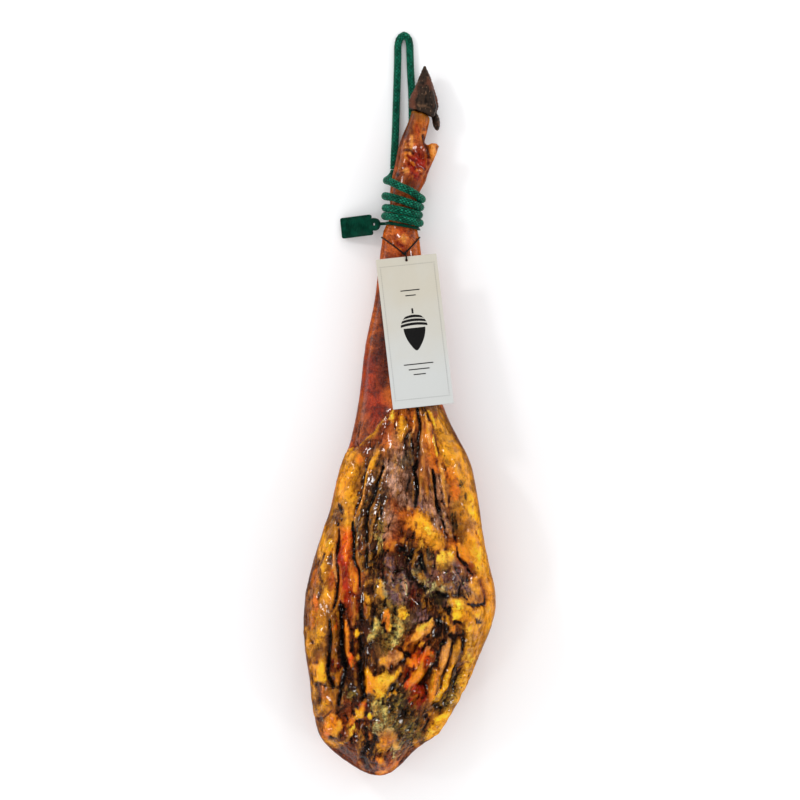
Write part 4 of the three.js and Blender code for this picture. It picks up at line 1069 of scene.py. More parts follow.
def meat_finish():
    """Skin, fat and lean meat in one finish, led by the values painted on the ham."""
    finish = Finish("cured_meat")
    place, flow = finish.place(), finish.attribute("flow", "Vector")
    field, wide_mark, narrow_mark = (finish.attribute(name, "Color") for name in HAM_LAYERS)
    wet, crust, fibre, mould = (finish.attribute(name) for name in HamPaint.TRAITS)
    lean, hollow, flank = (finish.attribute(name) for name in ("lean", "hollow", "flank"))
    fibrous = finish.times(finish.span(fibre, 0.12, 0.9), lean)
    fatty = finish.times(finish.span(fibre, 0.5, 0.12), lean)
    skin = finish.minus(1.0, lean)

    # Patterns drawn out along the leg, and patterns that lie any way
    bundles = finish.noise(finish.scaled(flow, 1, 0.24, 0.8), 150, 5, 0.62, 1.2)
    threads = finish.noise(finish.scaled(flow, 1, 0.22, 0.8), 430, 4, 0.65, 0.9)
    marbling = finish.noise(finish.scaled(flow, 1, 0.7, 1), 48, 6, 0.6, 0.9)
    wrinkles = finish.noise(finish.scaled(flow, 1, 0.6, 1), 210, 5, 0.65, 1.6)
    drawn = finish.noise(finish.scaled(flow, 1, 0.12, 1), 200, 5, 0.62, 0.8)
    clouds = finish.noise(place, 62, 6, 0.66, 0.8)
    grit = finish.noise(place, 270, 6, 0.75, 0.8)
    sand = finish.noise(place, 900, 3, 0.7)
    bundle_crease = finish.crease(bundles, 0.5, 0.05, 0.005)
    thread_crease = finish.crease(threads, 0.48, 0.05, 0.005)

    # The painted layers, with the patterns in their edges
    grain = finish.times(finish.minus(grit, 0.5), 1.6)
    along = finish.times(finish.minus(bundles, 0.5), finish.span(fatty, 0, 1, 2.6, 0.7))
    fine_along = finish.times(finish.minus(threads, 0.5), 2.6)
    billow = finish.times(finish.minus(clouds, 0.5), 1.4)
    wide_edge = finish.plus(grain, billow, along)
    narrow_edge = finish.plus(grain, fine_along, finish.times(along, 0.6))
    shown = []
    for name, edge in zip(HAM_LAYERS[1:], (wide_edge, narrow_edge)):
        cover = finish.attribute(name + "_cover")
        reached = finish.span(finish.plus(cover, edge), 0.32, 0.74, 0, 0.95)
        shown.append(finish.times(reached, finish.span(cover, 0.02, 0.35)))
    wide_at, narrow_at = shown
    colour = finish.mix(wide_at, field, wide_mark)
    colour = finish.mix(narrow_at, colour, narrow_mark)

    # Light and dark clouds, then the marbling of the fat and the strands of the lean meat
    even = finish.span(fatty, 0, 1, 1, 0.45)
    cloud_light = finish.times(finish.span(clouds, 0.36, 0.64, -0.36, 0.34), even)
    grit_light = finish.times(finish.span(grit, 0.36, 0.64, -0.28, 0.24), even)
    colour = finish.scale_colour(colour, finish.plus(cloud_light, grit_light, 1.0), 1.3)
    fat_tints = [
        (finish.span(marbling, 0.5, 0.66, 0, 0.5), (128, 70, 6)),
        (finish.span(marbling, 0.52, 0.38, 0, 0.45), (244, 170, 20)),
        (finish.span(bundles, 0.56, 0.66, 0, 0.15), (122, 66, 10)),
        (finish.span(bundles, 0.45, 0.37, 0, 0.2), (252, 196, 50)),
    ]
    for cover, rgb in fat_tints:
        colour = finish.tint(colour, finish.times(fatty, cover), *rgb)
    # Painted shade in the creases of the fat's wrinkles, where its bump sinks too
    wrinkled = finish.crease(wrinkles, 0.5, 0.035, 0.004)
    wrinkled = finish.times(wrinkled, finish.span(clouds, 0.4, 0.6, 0.36, 0.08), fatty)
    colour = finish.tint(colour, wrinkled, 104, 56, 14)
    # Painted shade in the troughs between the strands of the lean meat, and painted highlights on its raised
    # threads
    fibre_shade_and_highlights = [
        (finish.times(bundle_crease, 0.6), (40, 14, 6)),
        (finish.times(thread_crease, 0.5), (40, 14, 6)),
        (finish.span(threads, 0.54, 0.62, 0, 0.45), (214, 148, 84)),
    ]
    for cover, rgb in fibre_shade_and_highlights:
        colour = finish.tint(colour, finish.times(fibrous, cover), *rgb)

    # Painted shade in the hollows, and a painted highlight on the ridges
    deep = finish.span(hollow, 0.04, 0.75)
    strength = finish.times(finish.span(fatty, 0, 1, 0.9, 0.7), finish.span(skin, 0, 1, 1, 0.5))
    colour = finish.scale_colour(colour, finish.minus(1.0, finish.times(deep, strength)), 1.3)
    ridge_highlight = finish.times(finish.span(hollow, -0.12, -0.7), finish.span(fatty, 0, 1, 0.28, 0.26))
    colour = finish.tint(colour, ridge_highlight, 246, 178, 66)

    # Crust and mould on the lean meat
    crust_at = finish.plus(grit, finish.times(crust, 0.16), finish.times(deep, 0.08))
    crumbs = finish.times(finish.span(crust_at, 0.6, 0.69), lean)
    colour = finish.tint(colour, finish.times(crumbs, 0.85), 30, 15, 8)
    mould_at = finish.plus(finish.noise(place, 380, 6, 0.76, 0.8), finish.times(mould, 0.15))
    bloom = finish.times(finish.span(mould_at, 0.6, 0.72), lean, finish.span(fatty, 0, 1, 1, 0.3),
                         finish.span(flank, 0, 1, 1, 0.2))
    colour = finish.tint(colour, finish.times(bloom, 0.6), 190, 174, 116)

    # Pores and drawn-out streaks in the skin
    pores = finish.cells(finish.scaled(place, 1, 0.7, 1), 420)
    pore_dark = finish.times(finish.span(pores, 0.26, 0.1), skin)
    colour = finish.tint(colour, finish.times(pore_dark, 0.35), 70, 26, 10)
    colour = finish.tint(colour, finish.times(finish.span(drawn, 0.54, 0.7), skin, 0.42), 84, 30, 8)
    colour = finish.tint(colour, finish.times(finish.span(drawn, 0.44, 0.3), skin, 0.32), 206, 118, 48)

    # Painted shade on the flanks, then a deeper tone all over
    flank_shade = finish.times(flank, lean, 0.32)
    colour = finish.scale_colour(colour, finish.minus(1.0, flank_shade), 1.15)
    colour = finish.node("ShaderNodeGamma", {"Color": colour, "Gamma": 1.4}).outputs[0]
    colour = finish.mix(1.0, colour, (1.62, 1.74, 1.25, 1), "MULTIPLY")
    colour = finish.mix(1.0, colour, (0.95, 0.95, 0.95, 1), "DARKEN")

    rough = finish.plus(finish.span(wet, 0, 1, 0.36, 0.12, smooth=False), finish.times(bloom, 0.35),
                        finish.span(clouds, 0.36, 0.64, -0.08, 0.1))
    raised = finish.plus(threads, finish.times(bundles, 2))
    creases = finish.plus(bundle_crease, finish.times(thread_crease, 0.5))
    height = finish.plus(
        finish.times(fibrous, finish.minus(raised, creases)),
        finish.times(grit, finish.span(fatty, 0, 1, 3.0, 1.2)),
        finish.times(sand, 0.3),
        finish.times(wrinkled, -1),
        finish.times(wide_at, 0.5),
        finish.times(narrow_at, 0.4),
        finish.times(bloom, 0.3),
        finish.times(pore_dark, -0.2),
        finish.times(skin, drawn, 0.8),
    )
    finish.bump(height, 1.1 * MM, 0.9)
    finish.set(Base_Color=colour, Roughness=rough, Specular_IOR_Level=finish.span(flank, 0, 0.5, 0.3, 0.02),
               Coat_Weight=finish.span(flank, 0, 0.5, 0.75, 0.01), Coat_Roughness=0.09)
    return finish.material


def horn_finish():
    """Fibrous horn with browner patches and pale chips."""
    finish = Finish("hoof_horn")
    place = finish.place()
    grain = finish.noise(finish.scaled(place, 1, 0.12, 1), 620, 4, 0.6, 0.3)
    patches = finish.noise(place, 95, 4, 0.6, 0.5)
    warm = finish.noise(finish.scaled(place, 1, 0.6, 1), 46, 3, 0.5, 0.3)
    chips = finish.cells(finish.scaled(place, 1, 0.5, 1), 300)
    colour = finish.mix(finish.span(grain, 0.3, 0.72), opaque(20, 13, 8), opaque(64, 46, 32))
    colour = finish.tint(colour, finish.span(patches, 0.52, 0.72, 0, 0.8), 112, 80, 56)
    colour = finish.tint(colour, finish.span(patches, 0.42, 0.28, 0, 0.7), 18, 12, 10)
    colour = finish.tint(colour, finish.span(warm, 0.5, 0.64, 0, 0.6), 116, 60, 38)
    colour = finish.tint(colour, finish.span(chips, 0.2, 0.06, 0, 0.6), 150, 118, 92)
    finish.bump(finish.plus(grain, finish.times(patches, 1.5)), 0.6 * MM, 0.8)
    finish.set(Base_Color=colour, Roughness=finish.span(grain, 0.3, 0.7, 0.4, 0.6), Specular_IOR_Level=0.22)
    return finish.material


def rope_finish():
    """Braided cord. U and V of the map count the strands that run each way round."""
    finish = Finish("green_rope")
    lay = finish.node("ShaderNodeUVMap", {}, uv_map="strands").outputs["UV"]
    over, crown = finish.attribute("over"), finish.attribute("crown")
    yarn_a = finish.noise(finish.scaled(lay, 9, 0.9, 1), 1, 2, 0.5)
    yarn_b = finish.noise(finish.scaled(lay, 0.9, 9, 1), 1, 2, 0.5)
    one_way = finish.span(over, 0.45, 0.55)
    yarn = finish.plus(finish.times(one_way, yarn_a), finish.times(finish.minus(1.0, one_way), yarn_b))

    # Each strand has a tone of its own, and each crossing of two a painted glint of its own strength
    strand = finish.math("FLOOR", finish.node("ShaderNodeSeparateXYZ", {"Vector": lay}).outputs[0])
    crossing = finish.node("ShaderNodeVectorMath", {0: lay}, operation="FLOOR").outputs[0]
    strand_shade = finish.node("ShaderNodeTexWhiteNoise", {"W": strand}, noise_dimensions="1D").outputs[0]
    glint_chance = finish.node("ShaderNodeTexWhiteNoise", {"Vector": crossing}, noise_dimensions="3D").outputs[0]
    # Painted shade down in the valleys between the strands, over the tone of the yarn and of each strand
    light = finish.times(finish.span(yarn, 0.3, 0.7, 0.65, 1.4), finish.span(crown, 0.35, 0.9, 0.08, 0.9),
                         finish.span(strand_shade, 0, 1, 0.85, 1.15, smooth=False))
    colour = finish.scale_colour(opaque(0, 78, 56), light)
    # Painted glints on the crowns of the strands, stronger at some crossings than at others
    glints = finish.times(finish.span(yarn, 0.3, 0.55, 0.5, 1), finish.span(crown, 0.42, 0.72),
                          finish.span(one_way, 0, 1, 0.4, 0.7), finish.span(glint_chance, 0.15, 0.6, 0.15, 1))
    colour = finish.tint(colour, glints, 34, 154, 120)
    finish.bump(finish.plus(yarn, finish.times(crown, 2)), 0.4 * MM, 0.9)
    finish.set(Base_Color=colour, Roughness=0.34, Specular_IOR_Level=0.1)
    return finish.material


def plastic_finish():
    """Satin moulded plastic, slightly cloudy."""
    finish = Finish("green_plastic")
    place = finish.place()
    grain = finish.noise(place, 1500, 3, 0.6)
    cloud = finish.noise(place, 130, 3, 0.5)
    colour = finish.mix(finish.span(cloud, 0.35, 0.7), opaque(0, 46, 33), opaque(1, 64, 47))
    finish.bump(grain, 0.08 * MM, 0.5)
    finish.set(Base_Color=colour, Roughness=finish.span(cloud, 0.3, 0.7, 0.34, 0.44), Specular_IOR_Level=0.05)
    return finish.material


def card_finish():
    """Card that is warmer towards its hole."""
    finish = Finish("card_paper")
    place = finish.place()
    fibres = finish.noise(place, 900, 4, 0.6)
    cloud = finish.noise(place, 30, 3, 0.5)
    along = finish.node("ShaderNodeSeparateXYZ", {"Vector": place}).outputs[1]
    blend = finish.plus(finish.span(along, 0.03, 0.18), finish.span(cloud, 0.3, 0.7, -0.12, 0.12))
    colour = finish.mix(blend, opaque(198, 200, 198), opaque(195, 189, 174))
    colour = finish.scale_colour(colour, finish.span(fibres, 0.3, 0.7, 0.97, 1.0))
    finish.bump(fibres, 0.05 * MM, 0.4)
    finish.set(Base_Color=colour, Roughness=0.46, Coat_Weight=0.08, Coat_Roughness=0.3)
    return finish.material


def ink_finish():
    """Black printing ink."""
    finish = Finish("card_ink")
    grain = finish.noise(finish.place(), 1100, 3, 0.6)
    colour = finish.mix(finish.span(grain, 0.3, 0.7), opaque(14, 13, 13), opaque(30, 28, 28))
    finish.set(Base_Color=colour, Roughness=0.4)
    return finish.material


def string_finish():
    """Thin black string."""
    finish = Finish("black_string")
    twist = finish.noise(finish.place(), 1800, 2, 0.5)
    colour = finish.mix(finish.span(twist, 0.3, 0.7), opaque(8, 7, 6), opaque(34, 30, 27))
    finish.bump(twist, 0.15 * MM, 0.8)
    finish.set(Base_Color=colour, Roughness=0.6, Specular_IOR_Level=0.2)
    return finish.material


def floor_finish():
    """Plain pale floor."""
    finish = Finish("pale_floor")
    cloud = finish.noise(finish.place(), 1.5, 2, 0.5)
    colour = finish.mix(finish.span(cloud, 0.3, 0.7), (0.93, 0.93, 0.94, 1), (0.95, 0.95, 0.96, 1))
    finish.set(Base_Color=colour, Roughness=0.95, Specular_IOR_Level=0.1)
    return finish.material


def fleck_finish():
    """Crumbs of mould, some pale and some dark."""
    finish = Finish("mould_crumbs")
    kinds = finish.noise(finish.place(), 160, 2, 0.5)
    colour = finish.mix(finish.span(kinds, 0.5, 0.56), opaque(168, 150, 100), opaque(60, 44, 26))
    finish.set(Base_Color=colour, Roughness=0.7)
    return finish.material



# Hooves

def hoof_mesh(node):
    """A claw with the low growth rings of horn, in even quads."""
    mesh = even_copy(node, sizes().horn_detail)
    ends = edge_ends(mesh)
    points = relax(coordinates(mesh), ends, 4, 0.4)
    set_coordinates(mesh, points)
    normals = vertex_normals(mesh)
    place = points / MM
    rings = 0.16 * np.sin(place[:, 1] * 1.7 + 2.2 * lattice_noise(place / 9, 71))
    chips = 0.5 * rough_noise(place / 4.2, 73, 3)
    splits = 0.3 * rough_noise(place / (1.6, 14, 1.6), 75, 2)
    points = points + normals * ((rings + chips + splits) * MM)[:, None]
    low, high = (np.array(corner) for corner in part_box(node))
    set_coordinates(mesh, np.clip(points, low, high))
    shade_smooth(mesh)
    return mesh


# Rope

def ankle_at(y):
    """Middle and half sizes of the ankle at a height, in millimetres."""
    levels, left, right, bottom, top = np.array(ANKLE, dtype=float).T
    left, right, bottom, top = (np.interp(y, levels, side) for side in (left, right, bottom, top))
    return (left + right) / 2, (bottom + top) / 2, (right - left) / 2, (top - bottom) / 2


def turn_point(y, angle, radius):
    """Centre of the rope where it hugs the ankle and the strand behind it, at an angle round them."""
    across, up = math.cos(angle), math.sin(angle)
    touches = []
    for shift in (-3, 0, 3):
        x, z, half_width, half_height = ankle_at(y + shift)
        reach = math.hypot(half_width * across, half_height * up)
        touches.append((x + half_width**2 * across / reach, z + half_height**2 * up / reach))
    touches.append((STRAND[0] + radius * across, STRAND[1] + radius * up))
    x, z = max(touches, key=lambda touch: touch[0] * across + touch[1] * up)
    return x + (radius + ROPE_GAP) * across, y, max(z + (radius + ROPE_GAP) * up, radius + 0.05)


def winding_points(radius):
    """The centre line of the turns of rope, in millimetres."""
    points = list(FIRST_TURN)
    for k, (left, right) in enumerate(ROPE_TURNS):
        last = k == len(ROPE_TURNS) - 1
        following = right + 1 if last else ROPE_TURNS[k + 1][0]
        for i in range(TURN_STEPS - OPEN_STEPS if last else TURN_STEPS):
            turned = i / TURN_STEPS
            front = turned < 0.5
            start, end = (left, right) if front else (right, following)
            eased = (1 - math.cos(2 * math.pi * (turned if front else turned - 0.5))) / 2
            y = start + (end - start) * eased
            points.append(turn_point(y, math.pi - 2 * math.pi * turned, radius))
    return points


def path_frames(path):
    """Two directions across a path at each of its points, which turn as little as they can."""
    ahead = np.gradient(path, axis=0)
    ahead /= np.linalg.norm(ahead, axis=1)[:, None]
    side = np.cross(ahead[0], (0.0, 0.0, 1.0))
    side /= np.linalg.norm(side)
    sides = []
    for direction in ahead:
        side = side - direction * np.dot(side, direction)
        side /= np.linalg.norm(side)
        sides.append(side)
    sides = np.array(sides)
    return sides, np.cross(sides, ahead)


def braid_height(one, other):
    """Height from 0 to 1 of a plain braid, and which of its two sets of strands is on top."""
    cell = (np.floor(one) + np.floor(other)) % 2
    across_one, across_other = np.sin(np.pi * (one % 1)), np.sin(np.pi * (other % 1))
    lift = 0.42 * (1 - 2 * cell)
    first = across_one**0.8 * (0.58 + lift * across_other)
    second = across_other**0.8 * (0.58 - lift * across_one)
    return np.maximum(first, second), (first >= second).astype(float)


def braided_tube(path, diameter):
    """A closed tube of braided rope along a path, with its strands counted in a UV map."""
    settings = sizes()
    around = settings.rope_sides
    strands = settings.rope_strands
    reached = np.concatenate([[0], np.cumsum(np.linalg.norm(np.diff(path, axis=0), axis=1))])
    turn = np.linspace(0, 1, around + 1)
    pitch = math.pi * diameter / strands
    one = strands * turn[None, :] + reached[:, None] / pitch
    other = strands * turn[None, :] - reached[:, None] / pitch
    height, over = braid_height(one[:, :-1], other[:, :-1])
    side, up = path_frames(path)
    angle = 2 * math.pi * turn[:-1]
    outward = side[:, None, :] * np.cos(angle)[:, None] + up[:, None, :] * np.sin(angle)[:, None]
    ends = np.minimum(reached, reached[-1] - reached)[:, None]
    round_end = np.sqrt(np.clip(1 - (1 - np.minimum(ends / (0.25 * diameter), 1)) ** 2, 0.02, 1))
    radius = (diameter / 2 + settings.rope_relief * (height - 0.75)) * (0.8 + 0.2 * round_end)
    points = path[:, None, :] + radius[:, :, None] * outward
    rows = len(path)
    mesh = bpy.data.meshes.new("rope")
    index = np.arange(rows * around).reshape(rows, around)
    following = np.roll(index, -1, axis=1)
    faces = np.stack([index[:-1], index[1:], following[1:], following[:-1]], axis=-1).reshape(-1, 4)
    caps = [index[0].tolist(), index[-1][::-1].tolist()]
    mesh.from_pydata(points.reshape(-1, 3).tolist(), [], faces.tolist() + caps)
    layer = mesh.uv_layers.new(name="strands")
    corner_u = np.stack([one[:-1, :-1], one[1:, :-1], one[1:, 1:], one[:-1, 1:]], axis=-1)
    corner_v = np.stack([other[:-1, :-1], other[1:, :-1], other[1:, 1:], other[:-1, 1:]], axis=-1)
    flat = np.zeros((len(mesh.loops), 2), dtype=np.float32)
    flat[:corner_u.size] = np.stack([corner_u.ravel(), corner_v.ravel()], axis=1)
    layer.data.foreach_set("uv", flat.ravel())
    set_values(mesh, "over", over.ravel())
    set_values(mesh, "crown", height.ravel())
    face_outward(mesh)
    shade_smooth(mesh)
    return mesh


# Geometry Nodes

class Pattern:
    """A Geometry Nodes tree with named inputs, run once on a mesh."""

    def __init__(self, name, **inputs):
        self.tree = bpy.data.node_groups.new(name, "GeometryNodeTree")
        self.tree.interface.new_socket("Geometry", in_out="INPUT", socket_type="NodeSocketGeometry")
        self.tree.interface.new_socket("Geometry", in_out="OUTPUT", socket_type="NodeSocketGeometry")
        self.values = {}
        for label, (kind, value) in inputs.items():
            socket = self.tree.interface.new_socket(label, in_out="INPUT", socket_type="NodeSocket" + kind)
            self.values[socket.identifier] = value
        self.start = self.tree.nodes.new("NodeGroupInput")

    def input(self, label="Geometry"):
        return self.start.outputs[label]

    def node(self, kind, inputs=None, **settings):
        node = self.tree.nodes.new(kind)
        for key, value in settings.items():
            setattr(node, key, value)
        for key, value in (inputs or {}).items():
            if isinstance(value, bpy.types.NodeSocket):
                self.tree.links.new(value, node.inputs[key])
            else:
                node.inputs[key].default_value = value
        return node

    def run(self, shape, mesh):
        """Ends the tree in real, dressed mesh, and runs it on a mesh."""
        real = self.node("GeometryNodeRealizeInstances", {"Geometry": shape})
        dressed = self.node("GeometryNodeSetMaterial", {"Geometry": real.outputs[0],
                                                        "Material": self.input("Material")})
        end = self.tree.nodes.new("NodeGroupOutput")
        self.tree.links.new(dressed.outputs[0], end.inputs[0])
        helper = bpy.data.objects.new("helper", mesh)
        bpy.context.scene.collection.objects.link(helper)
        modifier = helper.modifiers.new("pattern", "NODES")
        modifier.node_group = self.tree
        for identifier, value in self.values.items():
            modifier[identifier] = value
        shown = helper.evaluated_get(bpy.context.evaluated_depsgraph_get())
        result = bpy.data.meshes.new_from_object(shown)
        bpy.data.objects.remove(helper)
        return result


def fleck_mesh(ham, material):
    """Small crumbs of mould and dried fat, spread where the ham's own values ask for them."""
    settings = sizes()
    pattern = Pattern("flecks", Density=("Float", settings.fleck_density),
                      Size=("Float", settings.fleck_size), Seed=("Int", 11), Material=("Material", material))
    wanted = pattern.node("GeometryNodeInputNamedAttribute", {"Name": "mould"}, data_type="FLOAT")
    density = pattern.node("ShaderNodeMath", {0: wanted.outputs[0], 1: pattern.input("Density")},
                           operation="MULTIPLY")
    spread = pattern.node("GeometryNodeDistributePointsOnFaces",
                          {"Mesh": pattern.input(), "Density": density.outputs[0],
                           "Seed": pattern.input("Seed")})
    crumb = pattern.node("GeometryNodeMeshIcoSphere", {"Radius": pattern.input("Size"), "Subdivisions": 2})
    scale = pattern.node("FunctionNodeRandomValue", {0: (0.4, 0.4, 0.15), 1: (1.3, 1.9, 0.5),
                                                     "Seed": pattern.input("Seed")}, data_type="FLOAT_VECTOR")
    placed = pattern.node("GeometryNodeInstanceOnPoints",
                          {"Points": spread.outputs["Points"], "Instance": crumb.outputs["Mesh"],
                           "Rotation": spread.outputs["Rotation"], "Scale": scale.outputs[0]})
    mesh = pattern.run(placed.outputs[0], ham)
    shade_smooth(mesh)
    return mesh


def rib_mesh(count, spacing, length, radius, material):
    """Parallel round ribs in a row along X, centred on the origin."""
    pattern = Pattern("ribs", Count=("Int", count), Spacing=("Float", spacing), Length=("Float", length),
                      Radius=("Float", radius), Material=("Material", material))
    step = pattern.node("ShaderNodeCombineXYZ", {"X": pattern.input("Spacing")})
    reach = pattern.node("ShaderNodeMath", {0: pattern.input("Spacing"), 1: -0.5 * (count - 1)},
                         operation="MULTIPLY")
    first = pattern.node("ShaderNodeCombineXYZ", {"X": reach.outputs[0]})
    row = pattern.node("GeometryNodeMeshLine", {"Count": pattern.input("Count"),
                                                "Start Location": first.outputs[0],
                                                "Offset": step.outputs[0]})
    rib = pattern.node("GeometryNodeMeshCylinder", {"Vertices": 10, "Radius": pattern.input("Radius"),
                                                    "Depth": pattern.input("Length")})
    placed = pattern.node("GeometryNodeInstanceOnPoints",
                          {"Points": row.outputs["Mesh"], "Instance": rib.outputs["Mesh"],
                           "Rotation": (math.pi / 2, 0, 0)})
    mesh = pattern.run(placed.outputs[0], bpy.data.meshes.new("start"))
    shade_smooth(mesh, 50)
    return mesh


def dotted_frame_mesh(width, height, spacing, radius, thickness, material):
    """Flat dots along a rectangle centred on the origin."""
    pattern = Pattern("dotted_frame", Width=("Float", width), Height=("Float", height),
                      Spacing=("Float", spacing), Radius=("Float", radius), Thickness=("Float", thickness),
                      Material=("Material", material))
    outline = pattern.node("GeometryNodeCurvePrimitiveQuadrilateral",
                           {"Width": pattern.input("Width"), "Height": pattern.input("Height")})
    dots = pattern.node("GeometryNodeResampleCurve", {"Curve": outline.outputs[0],
                                                      "Length": pattern.input("Spacing")}, mode="LENGTH")
    dot = pattern.node("GeometryNodeMeshCylinder", {"Vertices": 14, "Radius": pattern.input("Radius"),
                                                    "Depth": pattern.input("Thickness")})
    placed = pattern.node("GeometryNodeInstanceOnPoints",
                          {"Points": dots.outputs[0], "Instance": dot.outputs["Mesh"]})
    return pattern.run(placed.outputs[0], bpy.data.meshes.new("start"))


def round_cord_mesh(path, radius, material):
    """A round cord along a path of points, closed at both ends."""
    pattern = Pattern("round_cord", Radius=("Float", radius), Sides=("Int", 14),
                      Material=("Material", material))
    curve = pattern.node("GeometryNodeMeshToCurve", {"Mesh": pattern.input()})
    section = pattern.node("GeometryNodeCurvePrimitiveCircle", {"Resolution": pattern.input("Sides"),
                                                                "Radius": pattern.input("Radius")})
    tube = pattern.node("GeometryNodeCurveToMesh", {"Curve": curve.outputs[0],
                                                    "Profile Curve": section.outputs[0], "Fill Caps": True})
    line = bpy.data.meshes.new("line")
    line.from_pydata([tuple(p) for p in path], [(i, i + 1) for i in range(len(path) - 1)], [])
    mesh = pattern.run(tube.outputs[0], line)
    face_outward(mesh)
    shade_smooth(mesh, 60)
    return mesh


# Seal and card

def seal_matrix():
    return (Matrix.Translation(Vector(SEAL_PLACE) * MM) @ Matrix.Rotation(math.radians(SEAL_TURN), 4, "Z")
            @ Matrix.Rotation(math.radians(SEAL_DROOP), 4, "Y"))


def card_matrix():
    turn, pitch, roll = (math.radians(angle) for angle in CARD_TURN)
    return (Matrix.Translation(Vector(CARD_HOLE) * MM) @ Matrix.Rotation(turn, 4, "Z")
            @ Matrix.Rotation(pitch, 4, "X") @ Matrix.Rotation(roll, 4, "Y"))


def bevelled_copy(node, width, segments):
    """A copy of a CAD node's mesh with its sharp edges rounded."""
    settings = {"width": width, "segments": segments, "limit_method": "ANGLE",
                "angle_limit": math.radians(38)}
    mesh = evaluated_mesh(joined_copy(node), ("BEVEL", settings))
    shade_smooth(mesh, 35)
    return mesh


def inked_mesh(outlines, thickness):
    """Flat closed outlines as thin raised ink, at z from 0 to their thickness."""
    work = bmesh.new()
    for outline in outlines:
        corners = [work.verts.new((x * MM, y * MM, 0)) for x, y in outline]
        face = work.faces.new(corners)
        raised = bmesh.ops.extrude_face_region(work, geom=[face])
        moved = [item for item in raised["geom"] if isinstance(item, bmesh.types.BMVert)]
        bmesh.ops.translate(work, verts=moved, vec=(0, 0, thickness))
    bmesh.ops.recalc_face_normals(work, faces=work.faces)
    mesh = bpy.data.meshes.new("ink")
    work.to_mesh(mesh)
    work.free()
    return mesh


def bar(x, y, width, height):
    """Corners of an upright bar round its middle, in millimetres."""
    return [(x - width / 2, y - height / 2), (x + width / 2, y - height / 2),
            (x + width / 2, y + height / 2), (x - width / 2, y + height / 2)]


def acorn_outlines(x, y, width):
    """A plain acorn: the nut, the bands of its cup and its stalk, in millimetres."""
    turns = np.linspace(0, math.pi, 30)
    nut = [(x + 0.42 * width * math.cos(t) * (1 - 0.12 * math.sin(t) ** 2),
            y - width * (0.78 * math.sin(t) ** 1.15 + 0.1 * math.sin(t) ** 12)) for t in turns]
    bands = []
    for k in range(3):
        low, high = 0.05 + 0.15 * k, 0.05 + 0.15 * k + 0.1
        sides = [(0.52 * math.sqrt(max(1 - (level / 0.56) ** 2, 0.02)), level) for level in (low, high)]
        (wide, base), (narrow, top) = sides
        rise = 0.06
        lower = [(x + width * wide * s, y + width * (base + rise * (1 - s * s)))
                 for s in np.linspace(-1, 1, 15)]
        upper = [(x + width * narrow * s, y + width * (top + rise * (1 - s * s)))
                 for s in np.linspace(1, -1, 15)]
        bands.append(lower + upper)
    stalk = bar(x, y + width * 0.66, width * 0.07, width * 0.2)
    return [nut[::-1], *bands, stalk]


def card_print_mesh(material):
    """A generic print on the card: a dotted frame, an acorn and rules above and below it."""
    settings = sizes()
    middle = CARD_HOLE_FROM_EDGE - settings.card_length / MM / 2
    outlines = acorn_outlines(0, middle + 4, 30)
    outlines += [bar(0, middle - 38 - 6 * k, 34 - 10 * k, 1.2) for k in range(3)]
    outlines += [bar(0, middle + 42 + 6 * k, 12 + 10 * k, 1.2) for k in range(2)]
    ink = inked_mesh(outlines, settings.ink_thickness)
    dots = dotted_frame_mesh(settings.card_width - FRAME_INSET[0] * MM,
                             settings.card_length - FRAME_INSET[1] * MM, FRAME_SPACING * MM,
                             FRAME_DOT_RADIUS * MM, settings.ink_thickness, material)
    dots.transform(Matrix.Translation((0, middle * MM, settings.ink_thickness / 2)))
    work = bmesh.new()
    work.from_mesh(ink)
    work.from_mesh(dots)
    mesh = bpy.data.meshes.new("card_print")
    work.to_mesh(mesh)
    work.free()
    mesh.transform(card_matrix() @ Matrix.Translation((0, 0, (CARD_THICKNESS + 0.01) * MM)))
    return mesh


# String

def surface_ray(tree, y, angle):
    """Where a ray from the middle of the shank, at an angle round it, leaves the ham, and the way out."""
    direction = Vector((math.cos(angle), 0, math.sin(angle)))
    start = Vector((SHANK_MIDDLE[0], y, SHANK_MIDDLE[1])) * MM
    hit, normal, _, _ = tree.ray_cast(start + direction * 0.2, -direction)
    return hit, normal


def string_path(tree, radius):
    """The string's centre line: from the knot once round the shank and back, resting on the skin."""
    knot_angle = math.atan2(KNOT_HEIGHT - SHANK_MIDDLE[1], KNOT[0] - SHANK_MIDDLE[0])
    start = math.cos(knot_angle)
    steps = 72
    path = []
    for i in range(steps + 1):
        angle = knot_angle + 2 * math.pi * i / steps
        across, up = math.cos(angle), math.sin(angle)
        toward = (start - across) / (1 + start) if across < start else (across - start) / (1 - start)
        if up >= 0:
            y = KNOT[1] + (STRING_SIDE_Y - KNOT[1]) * min(toward, 1)
        else:
            y = STRING_SIDE_Y + (STRING_BACK_Y - STRING_SIDE_Y) * -up
        hit, normal = surface_ray(tree, y, angle)
        path.append(hit + normal * (radius + 0.1 * MM))
    return path


# What the user can change

def colour_property(name, rgb, description):
    return FloatVectorProperty(name=name.replace("_", " ").capitalize(), description=description, size=3,
                               subtype="COLOR_GAMMA", min=0, max=1, default=[part / 255 for part in rgb])


def length_property(name, description, default):
    return FloatProperty(name=name, description=description, default=default, min=0, unit="LENGTH",
                         precision=4)


class HamColours(PropertyGroup):
    """The finishes that the ham is painted with."""

    __annotations__ = {name: colour_property(name, row[0], row[5]) for name, row in FINISHES.items()}


